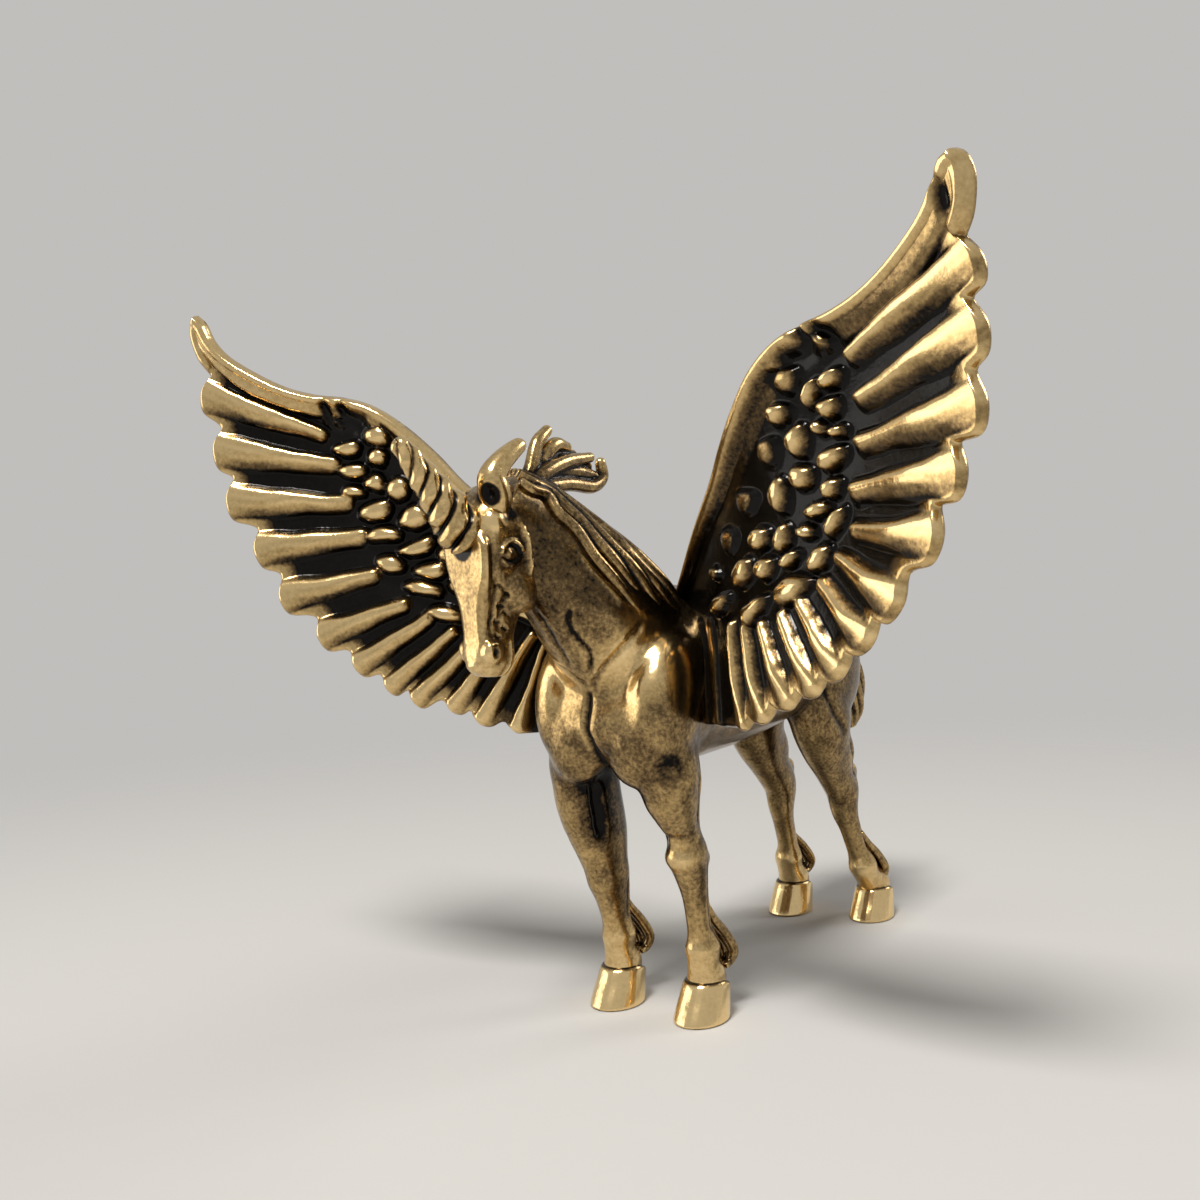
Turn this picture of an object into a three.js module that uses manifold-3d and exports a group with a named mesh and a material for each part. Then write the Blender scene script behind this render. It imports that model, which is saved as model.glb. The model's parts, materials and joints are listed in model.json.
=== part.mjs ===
// A winged, horned horse standing square on four hooves: a small brass ornament brazed up from separate
// castings.
// Millimetres, +Z up. The horse looks along -Y, its left side is +X, and it stands on Z = 0.
// The origin is the middle of the footprint of its bounding box.

import * as THREE from "three";
import { mergeVertices } from "three/addons/utils/BufferGeometryUtils.js";
import Module from "manifold-3d";

const wasm = await Module();
wasm.setup();

// Joints between the castings
const SEAM_GAP = 0.12; // brazing gap left all round where two castings meet
const PEG_PLAY = 0.1; // play of a peg in its socket, on the radius and at the end
const NECK_PEG = { radius: 1.3, length: 3.2 };
const HEAD_PEG = { radius: 0.7, length: 1.8 };
const HORN_PEG = { radius: 0.45, length: 1.1 };
const LEG_PEG = { radius: 0.8, length: 2.2 };
const HOOF_PEG = { radius: 0.45, length: 0.9 };
const TAIL_PEG = { radius: 0.6, length: 1.8 };
const WING_TONGUE = { width: 3.4, thickness: 0.8, length: 2.2 };
const TONGUE_AHEAD = 0.5; // the tongue lies in the thickness of the wing's bulging root

// Trunk: heights above the ground, places along the body, and widths
const CHEST_FRONT = -17.2;
const BUTTOCK = 14.0;
const WITHERS_Y = -9.0;
const LOIN_Y = 1.0;
const CROUP_Y = 8.0;
const WITHERS_HEIGHT = 27.2;
const BACK_HEIGHT = 25.0;
const CROUP_HEIGHT = 25.8;
const BREAST_HEIGHT = 20.6;
const GIRTH_HEIGHT = 15.8;
const FLANK_HEIGHT = 16.8;
const CHEST_WIDTH = 10.8;
const BARREL_WIDTH = 10.2;
const RUMP_WIDTH = 9.0;
const SHOULDER_MUSCLE = { across: 2.0, along: 2.9, tall: 4.3, inset: 1.9 };
const BLADE_MUSCLE = { across: 1.5, along: 2.5, tall: 4.2, inset: 1.5 };
const PECTORAL_MUSCLE = { across: 2.2, along: 1.75, tall: 3.3, inset: 3.2 };
const HAUNCH_MUSCLE = { across: 2.3, along: 4.4, tall: 4.7, inset: 2.0 };
const BUTTOCK_MUSCLE = { across: 1.6, along: 2.1, tall: 3.4, inset: 2.5 };

// Neck and head
const POLL = new THREE.Vector3(-3.0, -21.9, 32.4);
const NECK_ROOT_HEIGHT = 23.4;
const NECK_ROOT_DEPTH = 10.4;
const NECK_MID_DEPTH = 7.0;
const NECK_TOP_DEPTH = 5.6;
const NECK_ROOT_WIDTH = 8.6;
const NECK_MID_WIDTH = 6.0;
const NECK_TOP_WIDTH = 4.2;
const HEAD_LENGTH = 11.0;
const HEAD_WIDTH = 4.4;
const HEAD_DEPTH = 5.0;
const MUZZLE_WIDTH = 2.6;
const MUZZLE_DEPTH = 2.45;
const HEAD_TURN = THREE.MathUtils.degToRad(13); // towards the horse's right
const HEAD_TUCK = THREE.MathUtils.degToRad(-3); // above 0 draws the muzzle back towards the chest
const EAR = { length: 4.1, width: 1.3, thick: 1.15, cup: 0.55 };
const HORN_LENGTH = 6.8;
const HORN_ROOT_RADIUS = 1.34;
const HORN_TIP_RADIUS = 0.52;
const HORN_TURNS = 6;
const HORN_GROOVE = 0.16;
const HORN_RISE = THREE.MathUtils.degToRad(51); // above the horizontal

// Legs: heights of the joints above the ground, places along the body, and thicknesses
const HALF_TRACK = 3.2; // from the middle plane to a hoof
const FORE_HOOF_Y = -11.1;
const FORE_LEAN = 3.0; // the elbow stands this far ahead of the hoof
const HIND_HOOF_Y = 13.8;
const HIND_STAGGER = 0.65; // the left hind hoof stands this far behind, the right one this far ahead
const FETLOCK_Y = 12.7;
const HOCK_Y = 10.7;
const STIFLE_Y = 7.4;
const HOCK_NARROWING = 0.55; // the hocks stand this much closer to the middle plane than the hooves
const ELBOW_HEIGHT = 15.2;
const KNEE_HEIGHT = 10.5;
const STIFLE_HEIGHT = 15.2;
const HOCK_HEIGHT = 10.7;
const FETLOCK_HEIGHT = 4.5;
const CORONET_HEIGHT = 2.3;
const FOREARM_THICK = 3.7;
const KNEE_THICK = 2.6;
const GASKIN_THICK = 4.2;
const HOCK_THICK = 2.7;
const CANNON_THICK = 1.65;
const FETLOCK_THICK = 2.2;
const PASTERN_THICK = 2.0;
const HOOF_LENGTH = 4.4;
const HOOF_WIDTH = 3.2;
const TUFT = { length: 3.6, thick: 0.68, reach: 2.3 };

// Tail and mane
const DOCK_HEIGHT = 23.0;
const TAIL_LENGTH = 8.8;
const TAIL_REACH = 4.4; // how far the switch stands back from the quarters
const TAIL_THICK = 2.0;
const MANE_THICK = 1.1;
const MANE_RISE = 0.85; // how far the crest of hair stands above the neck
const LOCK_THICK = 0.62;
const LOCKS = [
  { rise: 2.9, back: 1.9, out: 0.4 },
  { rise: 2.4, back: 3.2, out: -0.3 },
  { rise: 1.9, back: 4.4, out: 0.5 },
  { rise: 1.1, back: 4.9, out: 0.2 },
];

// Wings: a plate with a rolled leading edge, a fan of flight feathers and bead-like coverts, swept forward
const WING_ROOT = new THREE.Vector3(2.0, -9.7, 0);
const WING_SWEEP = THREE.MathUtils.degToRad(31.3); // ahead of square to the body
const WING_ROOT_HEIGHT = 26.4;
const WING_TIP_HEIGHT = 46.1;
const WING_REACH = 28.1; // from the root out to the tip
const WING_THICK = 0.6;
const RIM_RISE = 0.5; // how far the rolled edge stands out of the plate, both ways
const FEATHER_RISE = 0.62;
const FIRST_FEATHER_RISE = 0.36;
const BEAD_RISE = 0.7;
const TIP_NOTCH = 0.42; // how deep the notch between two feather tips is cut

// The two fans are drawn for a tip at this distance out and this height, above a root at this height.
const FAN = { reach: 28.1, top: 46.1, root: 26.4 };

// Places on a fan are distance out from the root and height above the ground. The leading edge runs from the
// root to the tip, and `rim` is the width of its roll along the way.
const LEFT_LEADING = [
  [0.4, 26.4], [4, 29.6], [8, 33.0], [10, 35.1], [12, 37.1], [14, 38.7], [16, 39.8], [18, 40.4],
  [20, 40.75], [22, 41.35], [24, 42.35], [26, 43.8], [27, 45.05], [27.55, 45.85], [28.1, 46.1],
];
const RIGHT_LEADING = [
  [0.4, 26.4], [4, 29.3], [8, 32.3], [10.3, 34.2], [12, 36.15], [14, 38.05], [16, 39.4], [18, 40.1],
  [20, 40.45], [22, 41.05], [24, 42.05], [26, 43.35], [27, 44.5], [27.45, 45.5], [28.1, 46.1],
];
const RIM_WIDTH = [0.6, 0.85, 1.1, 1.3, 1.0, 0.8, 0.85, 0.9];
// The first feather lies along the leading edge: place out, height and half width
const FIRST_FEATHER = [
  [18.4, 39.5, 0.75], [20.2, 39.95, 0.9], [22, 40.5, 0.98], [24, 41.45, 1.0], [26, 42.85, 0.95], [27.4, 44.3, 0.85],
];
// The other feathers: root, tip, and half width at both
const LEFT_FEATHERS = [
  [20.4, 38.4, 28.5, 41.5, 0.58, 1.3],
  [20.3, 36.3, 28.4, 38.6, 0.62, 1.45],
  [19.8, 34.2, 28.1, 35.2, 0.65, 1.5],
  [19.2, 31.9, 26.7, 32.3, 0.72, 1.45],
  [19.2, 29.9, 25.2, 29.4, 0.6, 1.5],
  [18.0, 28.5, 22.6, 26.2, 0.6, 1.45],
  [16.8, 27.2, 20.5, 24.2, 0.55, 1.2],
  [15.2, 26.2, 18.4, 22.5, 0.5, 1.05],
  [13.8, 25.5, 16.4, 21.4, 0.5, 0.98],
  [12.0, 24.9, 14.2, 20.5, 0.5, 1.0],
  [10.2, 24.8, 11.8, 19.5, 0.5, 1.0],
  [8.6, 24.8, 9.7, 18.9, 0.46, 0.85],
];
const RIGHT_FEATHERS = [
  [20.0, 37.9, 28.4, 41.1, 0.55, 1.35],
  [19.5, 35.9, 27.9, 37.4, 0.66, 1.5],
  [18.8, 33.35, 27.2, 33.9, 0.68, 1.5],
  [17.9, 31.1, 25.4, 30.5, 0.72, 1.45],
  [17.1, 28.5, 23.7, 27.2, 0.66, 1.4],
  [15.0, 26.5, 21.1, 24.5, 0.6, 1.3],
  [13.4, 25.5, 18.6, 22.4, 0.55, 1.1],
  [11.7, 24.6, 16.4, 20.9, 0.5, 0.9],
  [10.2, 24.0, 14.6, 20.0, 0.5, 0.9],
  [8.4, 24.0, 12.1, 19.4, 0.5, 0.85],
  [6.5, 24.2, 10.2, 18.5, 0.46, 0.85],
  [5.6, 23.7, 7.8, 17.85, 0.42, 0.75],
];
const LEFT_FOOT = [4.2, 18.7]; // the fan's inner corner
const RIGHT_FOOT = [4.6, 17.9];
const TIP_EDGE = [[27.75, 42.45], [28.35, 43.3], [28.75, 44.8], [28.5, 45.75]];
// The coverts: middle, length, width, and turn in degrees
const LEFT_BEADS = [
  [16.2, 37.8, 1.9, 1.7, 60], [18.7, 37.6, 1.9, 1.0, 30], [17.4, 36.9, 2.0, 0.8, 60], [15.0, 36.2, 1.8, 1.4, 20],
  [18.3, 36.2, 1.6, 1.3, 30], [17.3, 35.3, 1.1, 0.9, 80], [18.4, 34.9, 1.3, 0.9, 10], [15.8, 34.7, 2.0, 1.4, 65],
  [13.6, 34.4, 2.2, 1.8, 40], [17.8, 33.6, 2.1, 1.5, 15], [15.6, 32.9, 2.0, 1.6, 20], [17.5, 32.1, 2.0, 1.1, 25],
  [13.9, 32.0, 2.2, 1.6, 85], [11.1, 31.9, 2.6, 1.6, 20], [16.4, 31.0, 2.0, 1.1, 10], [17.7, 30.5, 2.2, 1.1, 55],
  [12.0, 29.7, 1.9, 1.5, 30], [13.8, 29.8, 2.0, 1.3, 70], [15.6, 29.9, 1.6, 1.1, -5], [8.9, 29.8, 2.4, 1.6, 20],
  [10.2, 27.9, 2.7, 1.7, 35], [12.4, 28.2, 2.2, 1.4, 25], [14.4, 28.5, 1.7, 1.0, 35], [16.5, 28.7, 2.4, 1.3, 40],
  [14.6, 27.0, 3.6, 1.5, 20], [11.3, 25.9, 3.2, 1.4, 30], [7.3, 26.2, 3.2, 1.2, 20],
];
const RIGHT_BEADS = [
  [16.1, 37.4, 1.9, 1.4, -10], [18.3, 36.9, 2.1, 1.0, 0], [16.1, 36.1, 1.7, 1.2, 10], [18.1, 35.4, 2.4, 1.1, 0],
  [16.5, 34.6, 1.6, 1.2, 0], [18.1, 34.0, 1.8, 0.9, 0], [15.0, 34.0, 1.9, 1.6, 0], [16.7, 32.7, 2.7, 1.6, -12],
  [14.0, 32.1, 2.3, 1.6, -10], [16.2, 31.1, 2.6, 1.1, -5], [13.9, 30.2, 3.0, 1.1, -12], [15.8, 29.2, 2.5, 1.1, 20],
  [13.1, 28.7, 2.4, 1.3, -5], [13.6, 27.5, 3.0, 1.1, 8], [12.2, 25.8, 2.6, 1.2, 5], [13.4, 35.6, 1.9, 1.4, 20],
  [12.0, 33.8, 2.2, 1.6, 10], [11.6, 31.4, 2.4, 1.6, 0], [11.4, 29.6, 2.3, 1.4, 0], [9.4, 31.0, 2.3, 1.4, 20],
  [10.6, 27.6, 2.6, 1.4, 10], [8.6, 28.8, 2.3, 1.3, 20], [9.4, 26.0, 2.8, 1.3, 10], [6.4, 25.6, 2.6, 1.2, 12],
];
// How far the plate bulges ahead of the wing's plane: place out, height, bulge
const BULGE = [
  [20.6, 41.0, 1.0], [17.3, 40.4, 1.8], [14.2, 38.6, 2.1], [10.7, 34.9, 1.7], [5.4, 30.3, 1.1], [0.4, 26.4, 0.3],
  [20.0, 38.2, 0.1], [19.2, 35.0, -0.5], [18.2, 31.6, -0.6], [16.6, 28.6, -0.2], [13.8, 26.2, 0.6],
  [9.4, 24.8, 0.9], [3.2, 24.2, 0.4], [28.1, 45.6, 0.0], [28.6, 41.8, -0.7], [27.3, 34.7, -1.05],
  [24.2, 28.3, -0.6], [19.7, 23.8, 0.15], [15.3, 20.8, 0.8], [10.5, 18.8, 1.3], [5.4, 17.9, 1.1],
];

const LEFT = 1;
const RIGHT = -1;
const ACROSS = new THREE.Vector3(1, 0, 0);
const UP = new THREE.Vector3(0, 0, 1);
const at = (x, y, z) => new THREE.Vector3(x, y, z);

// Solids

// A solid of a closed surface, swollen by `grow` along the surface's own normals.
function solidOf(geometry, grow = 0) {
  const bare = geometry.clone();
  bare.deleteAttribute("normal");
  bare.deleteAttribute("uv");
  const merged = mergeVertices(bare, 1e-4);
  const vertProperties = new Float32Array(merged.attributes.position.array);
  if (grow) {
    merged.computeVertexNormals();
    merged.attributes.normal.array.forEach((n, i) => (vertProperties[i] += grow * n));
  }
  const triVerts = new Uint32Array(merged.index.array);
  return new wasm.Manifold(new wasm.Mesh({ numProp: 3, vertProperties, triVerts }));
}

function geometryOf(solid) {
  const mesh = solid.getMesh();
  const geometry = new THREE.BufferGeometry();
  geometry.setAttribute("position", new THREE.BufferAttribute(mesh.vertProperties, 3));
  geometry.setIndex(new THREE.BufferAttribute(mesh.triVerts, 1));
  return geometry;
}

// The largest body of a cut piece: what a cut leaves on the far side of its neighbour is an offcut.
function mainBody(solid) {
  return solid.decompose().reduce((a, b) => (a.volume() > b.volume() ? a : b));
}

const join = (first, ...others) => others.reduce((a, b) => a.add(b), first);
const cut = (piece, ...tools) => mainBody(tools.reduce((a, b) => a.subtract(b), piece));

// A closed body from rows of points: rings[i][j] run round the body, and both ends close on their middle.
function closedRings(rings) {
  const sides = rings[0].length;
  const points = rings.flat();
  const middle = (ring) => ring.reduce((sum, p) => sum.add(p), at(0, 0, 0)).divideScalar(sides);
  points.push(middle(rings[0]), middle(rings[rings.length - 1]));
  const start = points.length - 2;
  const end = points.length - 1;
  const last = (rings.length - 1) * sides;
  const faces = [];
  for (let j = 0; j < sides; j++) {
    const k = (j + 1) % sides;
    faces.push(start, k, j, end, last + j, last + k);
    for (let i = 0; i + 1 < rings.length; i++) {
      const a = i * sides;
      const b = a + sides;
      faces.push(a + j, a + k, b + k, a + j, b + k, b + j);
    }
  }
  const geometry = new THREE.BufferGeometry();
  const places = new Float32Array(points.flatMap((p) => [p.x, p.y, p.z]));
  geometry.setAttribute("position", new THREE.BufferAttribute(places, 3));
  geometry.setIndex(faces);
  return geometry;
}

// A smooth body through elliptical rings. A station gives a ring's middle and its half sizes: `across` along the
// given side direction, `deep` square to that and to the path, or to `axis` where the rings lie square to that.
// `grow` makes the same body larger all round.
function loft(stations, side, { sides = 16, steps = 2, grow = 0, axis = null } = {}) {
  const path = new THREE.CatmullRomCurve3(stations.map((s) => s.middle), false, "centripetal");
  const sizes = new THREE.CatmullRomCurve3(stations.map((s) => at(s.across, s.deep, 0)), false, "centripetal");
  const count = (stations.length - 1) * steps;
  const rings = [];
  for (let i = 0; i <= count; i++) {
    const middle = path.getPoint(i / count);
    const size = sizes.getPoint(i / count);
    const along = axis ?? path.getTangent(i / count);
    const across = side.clone().addScaledVector(along, -side.dot(along)).normalize();
    const deep = across.clone().cross(along).normalize();
    const ring = [];
    for (let j = 0; j < sides; j++) {
      const angle = (-2 * Math.PI * j) / sides;
      ring.push(
        middle
          .clone()
          .addScaledVector(across, size.x * Math.cos(angle))
          .addScaledVector(deep, size.y * Math.sin(angle)),
      );
    }
    rings.push(ring);
  }
  return solidOf(closedRings(rings), grow);
}

const station = (middle, across, deep) => ({ middle, across, deep });

function ellipsoid(middle, across, along, tall, grow = 0) {
  const geometry = new THREE.SphereGeometry(1, 12, 8);
  geometry.scale(across, along, tall);
  geometry.translate(middle.x, middle.y, middle.z);
  return solidOf(geometry, grow);
}

// A round peg from a point, running `length` along a direction.
function peg(from, direction, radius, length) {
  const geometry = new THREE.CylinderGeometry(radius, radius, length, 12);
  geometry.translate(0, length / 2, 0);
  geometry.applyQuaternion(new THREE.Quaternion().setFromUnitVectors(at(0, 1, 0), direction));
  geometry.translate(from.x, from.y, from.z);
  return solidOf(geometry);
}

// A peg reaching both ways through a seam, and the socket that takes it.
function pegAndSocket(seam, direction, size) {
  const reach = (length) => seam.clone().addScaledVector(direction, -length);
  const socketLength = size.length + PEG_PLAY;
  return {
    peg: peg(reach(size.length), direction, size.radius, 2 * size.length),
    socket: peg(reach(socketLength), direction, size.radius + PEG_PLAY, 2 * socketLength),
  };
}

// Trunk

function trunkRing(y, top, bottom, width) {
  return station(at(0, y, (top + bottom) / 2), width / 2, (top - bottom) / 2);
}

function trunkStations() {
  const shoulderY = (CHEST_FRONT + 2 * WITHERS_Y) / 3;
  const barrelY = (WITHERS_Y + LOIN_Y) / 2;
  const hipY = (CROUP_Y + BUTTOCK) / 2;
  return [
    trunkRing(CHEST_FRONT, BREAST_HEIGHT + 1.8, BREAST_HEIGHT - 1.6, 0.34 * CHEST_WIDTH),
    trunkRing(CHEST_FRONT + 0.7, BREAST_HEIGHT + 3.2, BREAST_HEIGHT - 3.4, 0.7 * CHEST_WIDTH),
    trunkRing(CHEST_FRONT + 2.4, WITHERS_HEIGHT - 2.0, GIRTH_HEIGHT, 0.97 * CHEST_WIDTH),
    trunkRing(shoulderY, WITHERS_HEIGHT - 0.5, GIRTH_HEIGHT - 0.3, CHEST_WIDTH),
    trunkRing(WITHERS_Y, WITHERS_HEIGHT, GIRTH_HEIGHT - 0.3, 0.98 * CHEST_WIDTH),
    trunkRing(barrelY, BACK_HEIGHT + 0.6, GIRTH_HEIGHT - 0.1, BARREL_WIDTH),
    trunkRing(LOIN_Y, BACK_HEIGHT, FLANK_HEIGHT - 0.6, 0.96 * BARREL_WIDTH),
    trunkRing((LOIN_Y + CROUP_Y) / 2, (BACK_HEIGHT + CROUP_HEIGHT) / 2, FLANK_HEIGHT, RUMP_WIDTH),
    trunkRing(CROUP_Y, CROUP_HEIGHT, FLANK_HEIGHT + 0.2, 0.92 * RUMP_WIDTH),
    trunkRing(hipY, CROUP_HEIGHT - 1.0, FLANK_HEIGHT + 0.9, 0.7 * RUMP_WIDTH),
    trunkRing(BUTTOCK - 0.6, CROUP_HEIGHT - 3.0, FLANK_HEIGHT + 2.4, 0.46 * RUMP_WIDTH),
    trunkRing(BUTTOCK, CROUP_HEIGHT - 4.4, FLANK_HEIGHT + 3.8, 0.24 * RUMP_WIDTH),
  ];
}

// A muscle on one side, `inset` from the outside of a body of the given width.
function muscle(hand, { across, along, tall, inset }, width, y, z, grow) {
  return ellipsoid(at(hand * (width / 2 - inset), y, z), across, along, tall, grow);
}

function trunkForm(grow) {
  const barrel = loft(trunkStations(), ACROSS, { sides: 18, grow });
  const muscles = [LEFT, RIGHT].flatMap((hand) => [
    muscle(hand, SHOULDER_MUSCLE, CHEST_WIDTH, CHEST_FRONT + 2.7, BREAST_HEIGHT - 0.2, grow),
    muscle(hand, BLADE_MUSCLE, CHEST_WIDTH, CHEST_FRONT + 5.3, BREAST_HEIGHT + 1.0, grow),
    muscle(hand, PECTORAL_MUSCLE, CHEST_WIDTH, CHEST_FRONT + 1.5, BREAST_HEIGHT - 1.9, grow),
    muscle(hand, HAUNCH_MUSCLE, RUMP_WIDTH, STIFLE_Y + 0.6, FLANK_HEIGHT + 3.4, grow),
    muscle(hand, BUTTOCK_MUSCLE, RUMP_WIDTH, BUTTOCK - 2.6, FLANK_HEIGHT + 2.8, grow),
  ]);
  return join(barrel, ...muscles);
}

// Neck, from inside the trunk to inside the head

const NECK_ROOT = at(0, CHEST_FRONT + 5.4, NECK_ROOT_HEIGHT - 1.2);

function neckStations() {
  const along = (share) => NECK_ROOT.clone().lerp(POLL, share);
  return [
    station(NECK_ROOT, NECK_ROOT_WIDTH / 2, NECK_ROOT_DEPTH / 2),
    station(along(0.34).add(at(0.5, -0.5, 0.1)), 0.44 * NECK_ROOT_WIDTH, 0.4 * NECK_ROOT_DEPTH),
    station(along(0.6).add(at(0.5, -0.2, 0.2)), NECK_MID_WIDTH / 2, NECK_MID_DEPTH / 2),
    station(along(0.84).add(at(0.2, 0.3, 0.1)), NECK_TOP_WIDTH / 2, NECK_TOP_DEPTH / 2),
    station(along(1.0), 0.42 * NECK_TOP_WIDTH, 0.4 * NECK_TOP_DEPTH),
  ];
}

const neckForm = (grow) => loft(neckStations(), ACROSS, { grow });

// Head: `down` runs from the poll to the muzzle, `face` points out of the forehead, `left` to its left cheek

const headTurn = new THREE.Quaternion().setFromAxisAngle(UP, -HEAD_TURN);
const headTuck = new THREE.Quaternion().setFromAxisAngle(ACROSS, HEAD_TUCK);
const headPose = headTurn.clone().multiply(headTuck);
const face = at(0, -1, 0).applyQuaternion(headPose);
const left = at(1, 0, 0).applyQuaternion(headPose);
const down = at(0, 0, -1).applyQuaternion(headPose);
const HEAD_TOP = POLL.clone().addScaledVector(down, -1.0);

// A point of the head: distance below its top, out of the face, and to its left.
function headPoint(below, ahead, sideways = 0) {
  return HEAD_TOP.clone()
    .addScaledVector(down, below)
    .addScaledVector(face, ahead)
    .addScaledVector(left, sideways);
}

// A ring of the head from its front profile to its back one.
function headRing(below, front, back, width) {
  return station(headPoint(below, (front + back) / 2), width / 2, (front - back) / 2);
}

const BROW_FRONT = HEAD_DEPTH / 2 + 0.1; // from the line through the poll to the forehead
const EYE_BELOW = 0.33 * HEAD_LENGTH;

function headStations() {
  const muzzleFront = BROW_FRONT - 0.75;
  return [
    headRing(0, 1.1, -0.9, 0.5 * HEAD_WIDTH),
    headRing(0.12 * HEAD_LENGTH, BROW_FRONT - 0.5, -1.8, 0.82 * HEAD_WIDTH),
    headRing(EYE_BELOW, BROW_FRONT, BROW_FRONT - HEAD_DEPTH, HEAD_WIDTH),
    headRing(0.48 * HEAD_LENGTH, BROW_FRONT - 0.3, BROW_FRONT - 0.92 * HEAD_DEPTH, 0.9 * HEAD_WIDTH),
    headRing(0.63 * HEAD_LENGTH, BROW_FRONT - 0.55, BROW_FRONT - 0.74 * HEAD_DEPTH, 0.7 * HEAD_WIDTH),
    headRing(0.77 * HEAD_LENGTH, muzzleFront, muzzleFront - MUZZLE_DEPTH, 0.9 * MUZZLE_WIDTH),
    headRing(0.9 * HEAD_LENGTH, muzzleFront, muzzleFront - MUZZLE_DEPTH, MUZZLE_WIDTH),
    headRing(0.975 * HEAD_LENGTH, muzzleFront - 0.15, muzzleFront - 0.85 * MUZZLE_DEPTH, 0.8 * MUZZLE_WIDTH),
    headRing(HEAD_LENGTH, muzzleFront - 0.6, muzzleFront - 0.62 * MUZZLE_DEPTH, 0.42 * MUZZLE_WIDTH),
  ];
}

const headForm = (grow) => loft(headStations(), left, { grow });

// Horn: a blunt cone wound with one spiral groove

const HORN_ROOT = headPoint(0.25 * HEAD_LENGTH, BROW_FRONT - 0.4);
const hornFace = at(face.x, face.y, 0).normalize();
const hornAxis = hornFace.clone().multiplyScalar(Math.cos(HORN_RISE)).addScaledVector(UP, Math.sin(HORN_RISE));

function hornForm() {
  const sides = 10;
  const rows = HORN_TURNS * 5;
  const across = hornAxis.clone().cross(UP).normalize();
  const deep = across.clone().cross(hornAxis);
  const rings = [];
  for (let i = 0; i <= rows; i++) {
    const share = i / rows;
    const middle = HORN_ROOT.clone().addScaledVector(hornAxis, share * HORN_LENGTH);
    const taper = THREE.MathUtils.lerp(HORN_ROOT_RADIUS, HORN_TIP_RADIUS, share) * (share > 0.97 ? 0.7 : 1);
    const ring = [];
    for (let j = 0; j < sides; j++) {
      const angle = (-2 * Math.PI * j) / sides;
      const wind = Math.sin(2 * Math.PI * share * HORN_TURNS - angle);
      const radius = taper - HORN_GROOVE * (0.5 - 0.5 * wind);
      ring.push(
        middle
          .clone()
          .addScaledVector(across, radius * Math.cos(angle))
          .addScaledVector(deep, radius * Math.sin(angle)),
      );
    }
    rings.push(ring);
  }
  return solidOf(closedRings(rings));
}

// Ears: cupped leaves lying back from the poll, the right one flat along the neck

function earForm(hand) {
  const root = headPoint(0.8, 1.3, hand * 0.3 * HEAD_WIDTH);
  const [backward, upward] = hand === LEFT ? [0.6, 0.8] : [0.92, 0.4];
  const direction = face.clone().multiplyScalar(-backward).addScaledVector(down, -upward);
  const flat = left.clone();
  const ring = (share, width, thick) =>
    station(root.clone().addScaledVector(direction, share * EAR.length), width / 2, thick / 2);
  const leaf = loft(
    [
      ring(-0.16, 0.8 * EAR.width, 0.9 * EAR.thick),
      ring(0.1, EAR.width, EAR.thick),
      ring(0.45, 0.92 * EAR.width, 0.86 * EAR.thick),
      ring(0.8, 0.55 * EAR.width, 0.6 * EAR.thick),
      ring(1, 0.14 * EAR.width, 0.2 * EAR.thick),
    ],
    flat,
    { sides: 10 },
  );
  const mouth = root.clone().addScaledVector(direction, 0.12 * EAR.length).addScaledVector(face, EAR.cup);
  const hollow = loft(
    [
      station(mouth, 0.28 * EAR.width, 0.3 * EAR.thick),
      station(mouth.clone().addScaledVector(direction, 0.28 * EAR.length), 0.3 * EAR.width, 0.34 * EAR.thick),
      station(mouth.clone().addScaledVector(direction, 0.5 * EAR.length), 0.1 * EAR.width, 0.12 * EAR.thick),
    ],
    flat,
    { sides: 8 },
  );
  return leaf.subtract(hollow);
}

// Mane: a crest of hair down the back of the neck, and loose locks thrown back from the poll

function crestPoint(share, rise) {
  const stations = neckStations();
  const path = new THREE.CatmullRomCurve3(stations.map((s) => s.middle), false, "centripetal");
  const sizes = new THREE.CatmullRomCurve3(stations.map((s) => at(s.across, s.deep, 0)), false, "centripetal");
  const along = path.getTangent(share);
  const across = ACROSS.clone().addScaledVector(along, -ACROSS.dot(along)).normalize();
  const back = along.clone().cross(across).normalize();
  return path.getPoint(share).addScaledVector(back, sizes.getPoint(share).y + rise);
}

function maneCrest() {
  const shares = [0.3, 0.45, 0.62, 0.78, 0.92];
  const thick = [0.4, 0.9, 1, 1, 0.8];
  const stations = shares.map((share, i) =>
    station(crestPoint(share, 0), (thick[i] * MANE_THICK) / 2, thick[i] * MANE_RISE),
  );
  return loft(stations, ACROSS, { sides: 10 });
}

function maneLock({ rise, back, out }, index) {
  const root = crestPoint(0.93 - 0.06 * index, -0.2);
  const tip = root.clone().add(at(out, back, rise));
  const bend = root.clone().lerp(tip, 0.5).add(at(0.2 * out, 0, 0.55));
  return loft(
    [
      station(root, LOCK_THICK, LOCK_THICK),
      station(bend, 0.8 * LOCK_THICK, 0.62 * LOCK_THICK),
      station(tip, 0.3 * LOCK_THICK, 0.28 * LOCK_THICK),
    ],
    ACROSS,
    { sides: 8, steps: 3 },
  );
}

// Legs

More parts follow.
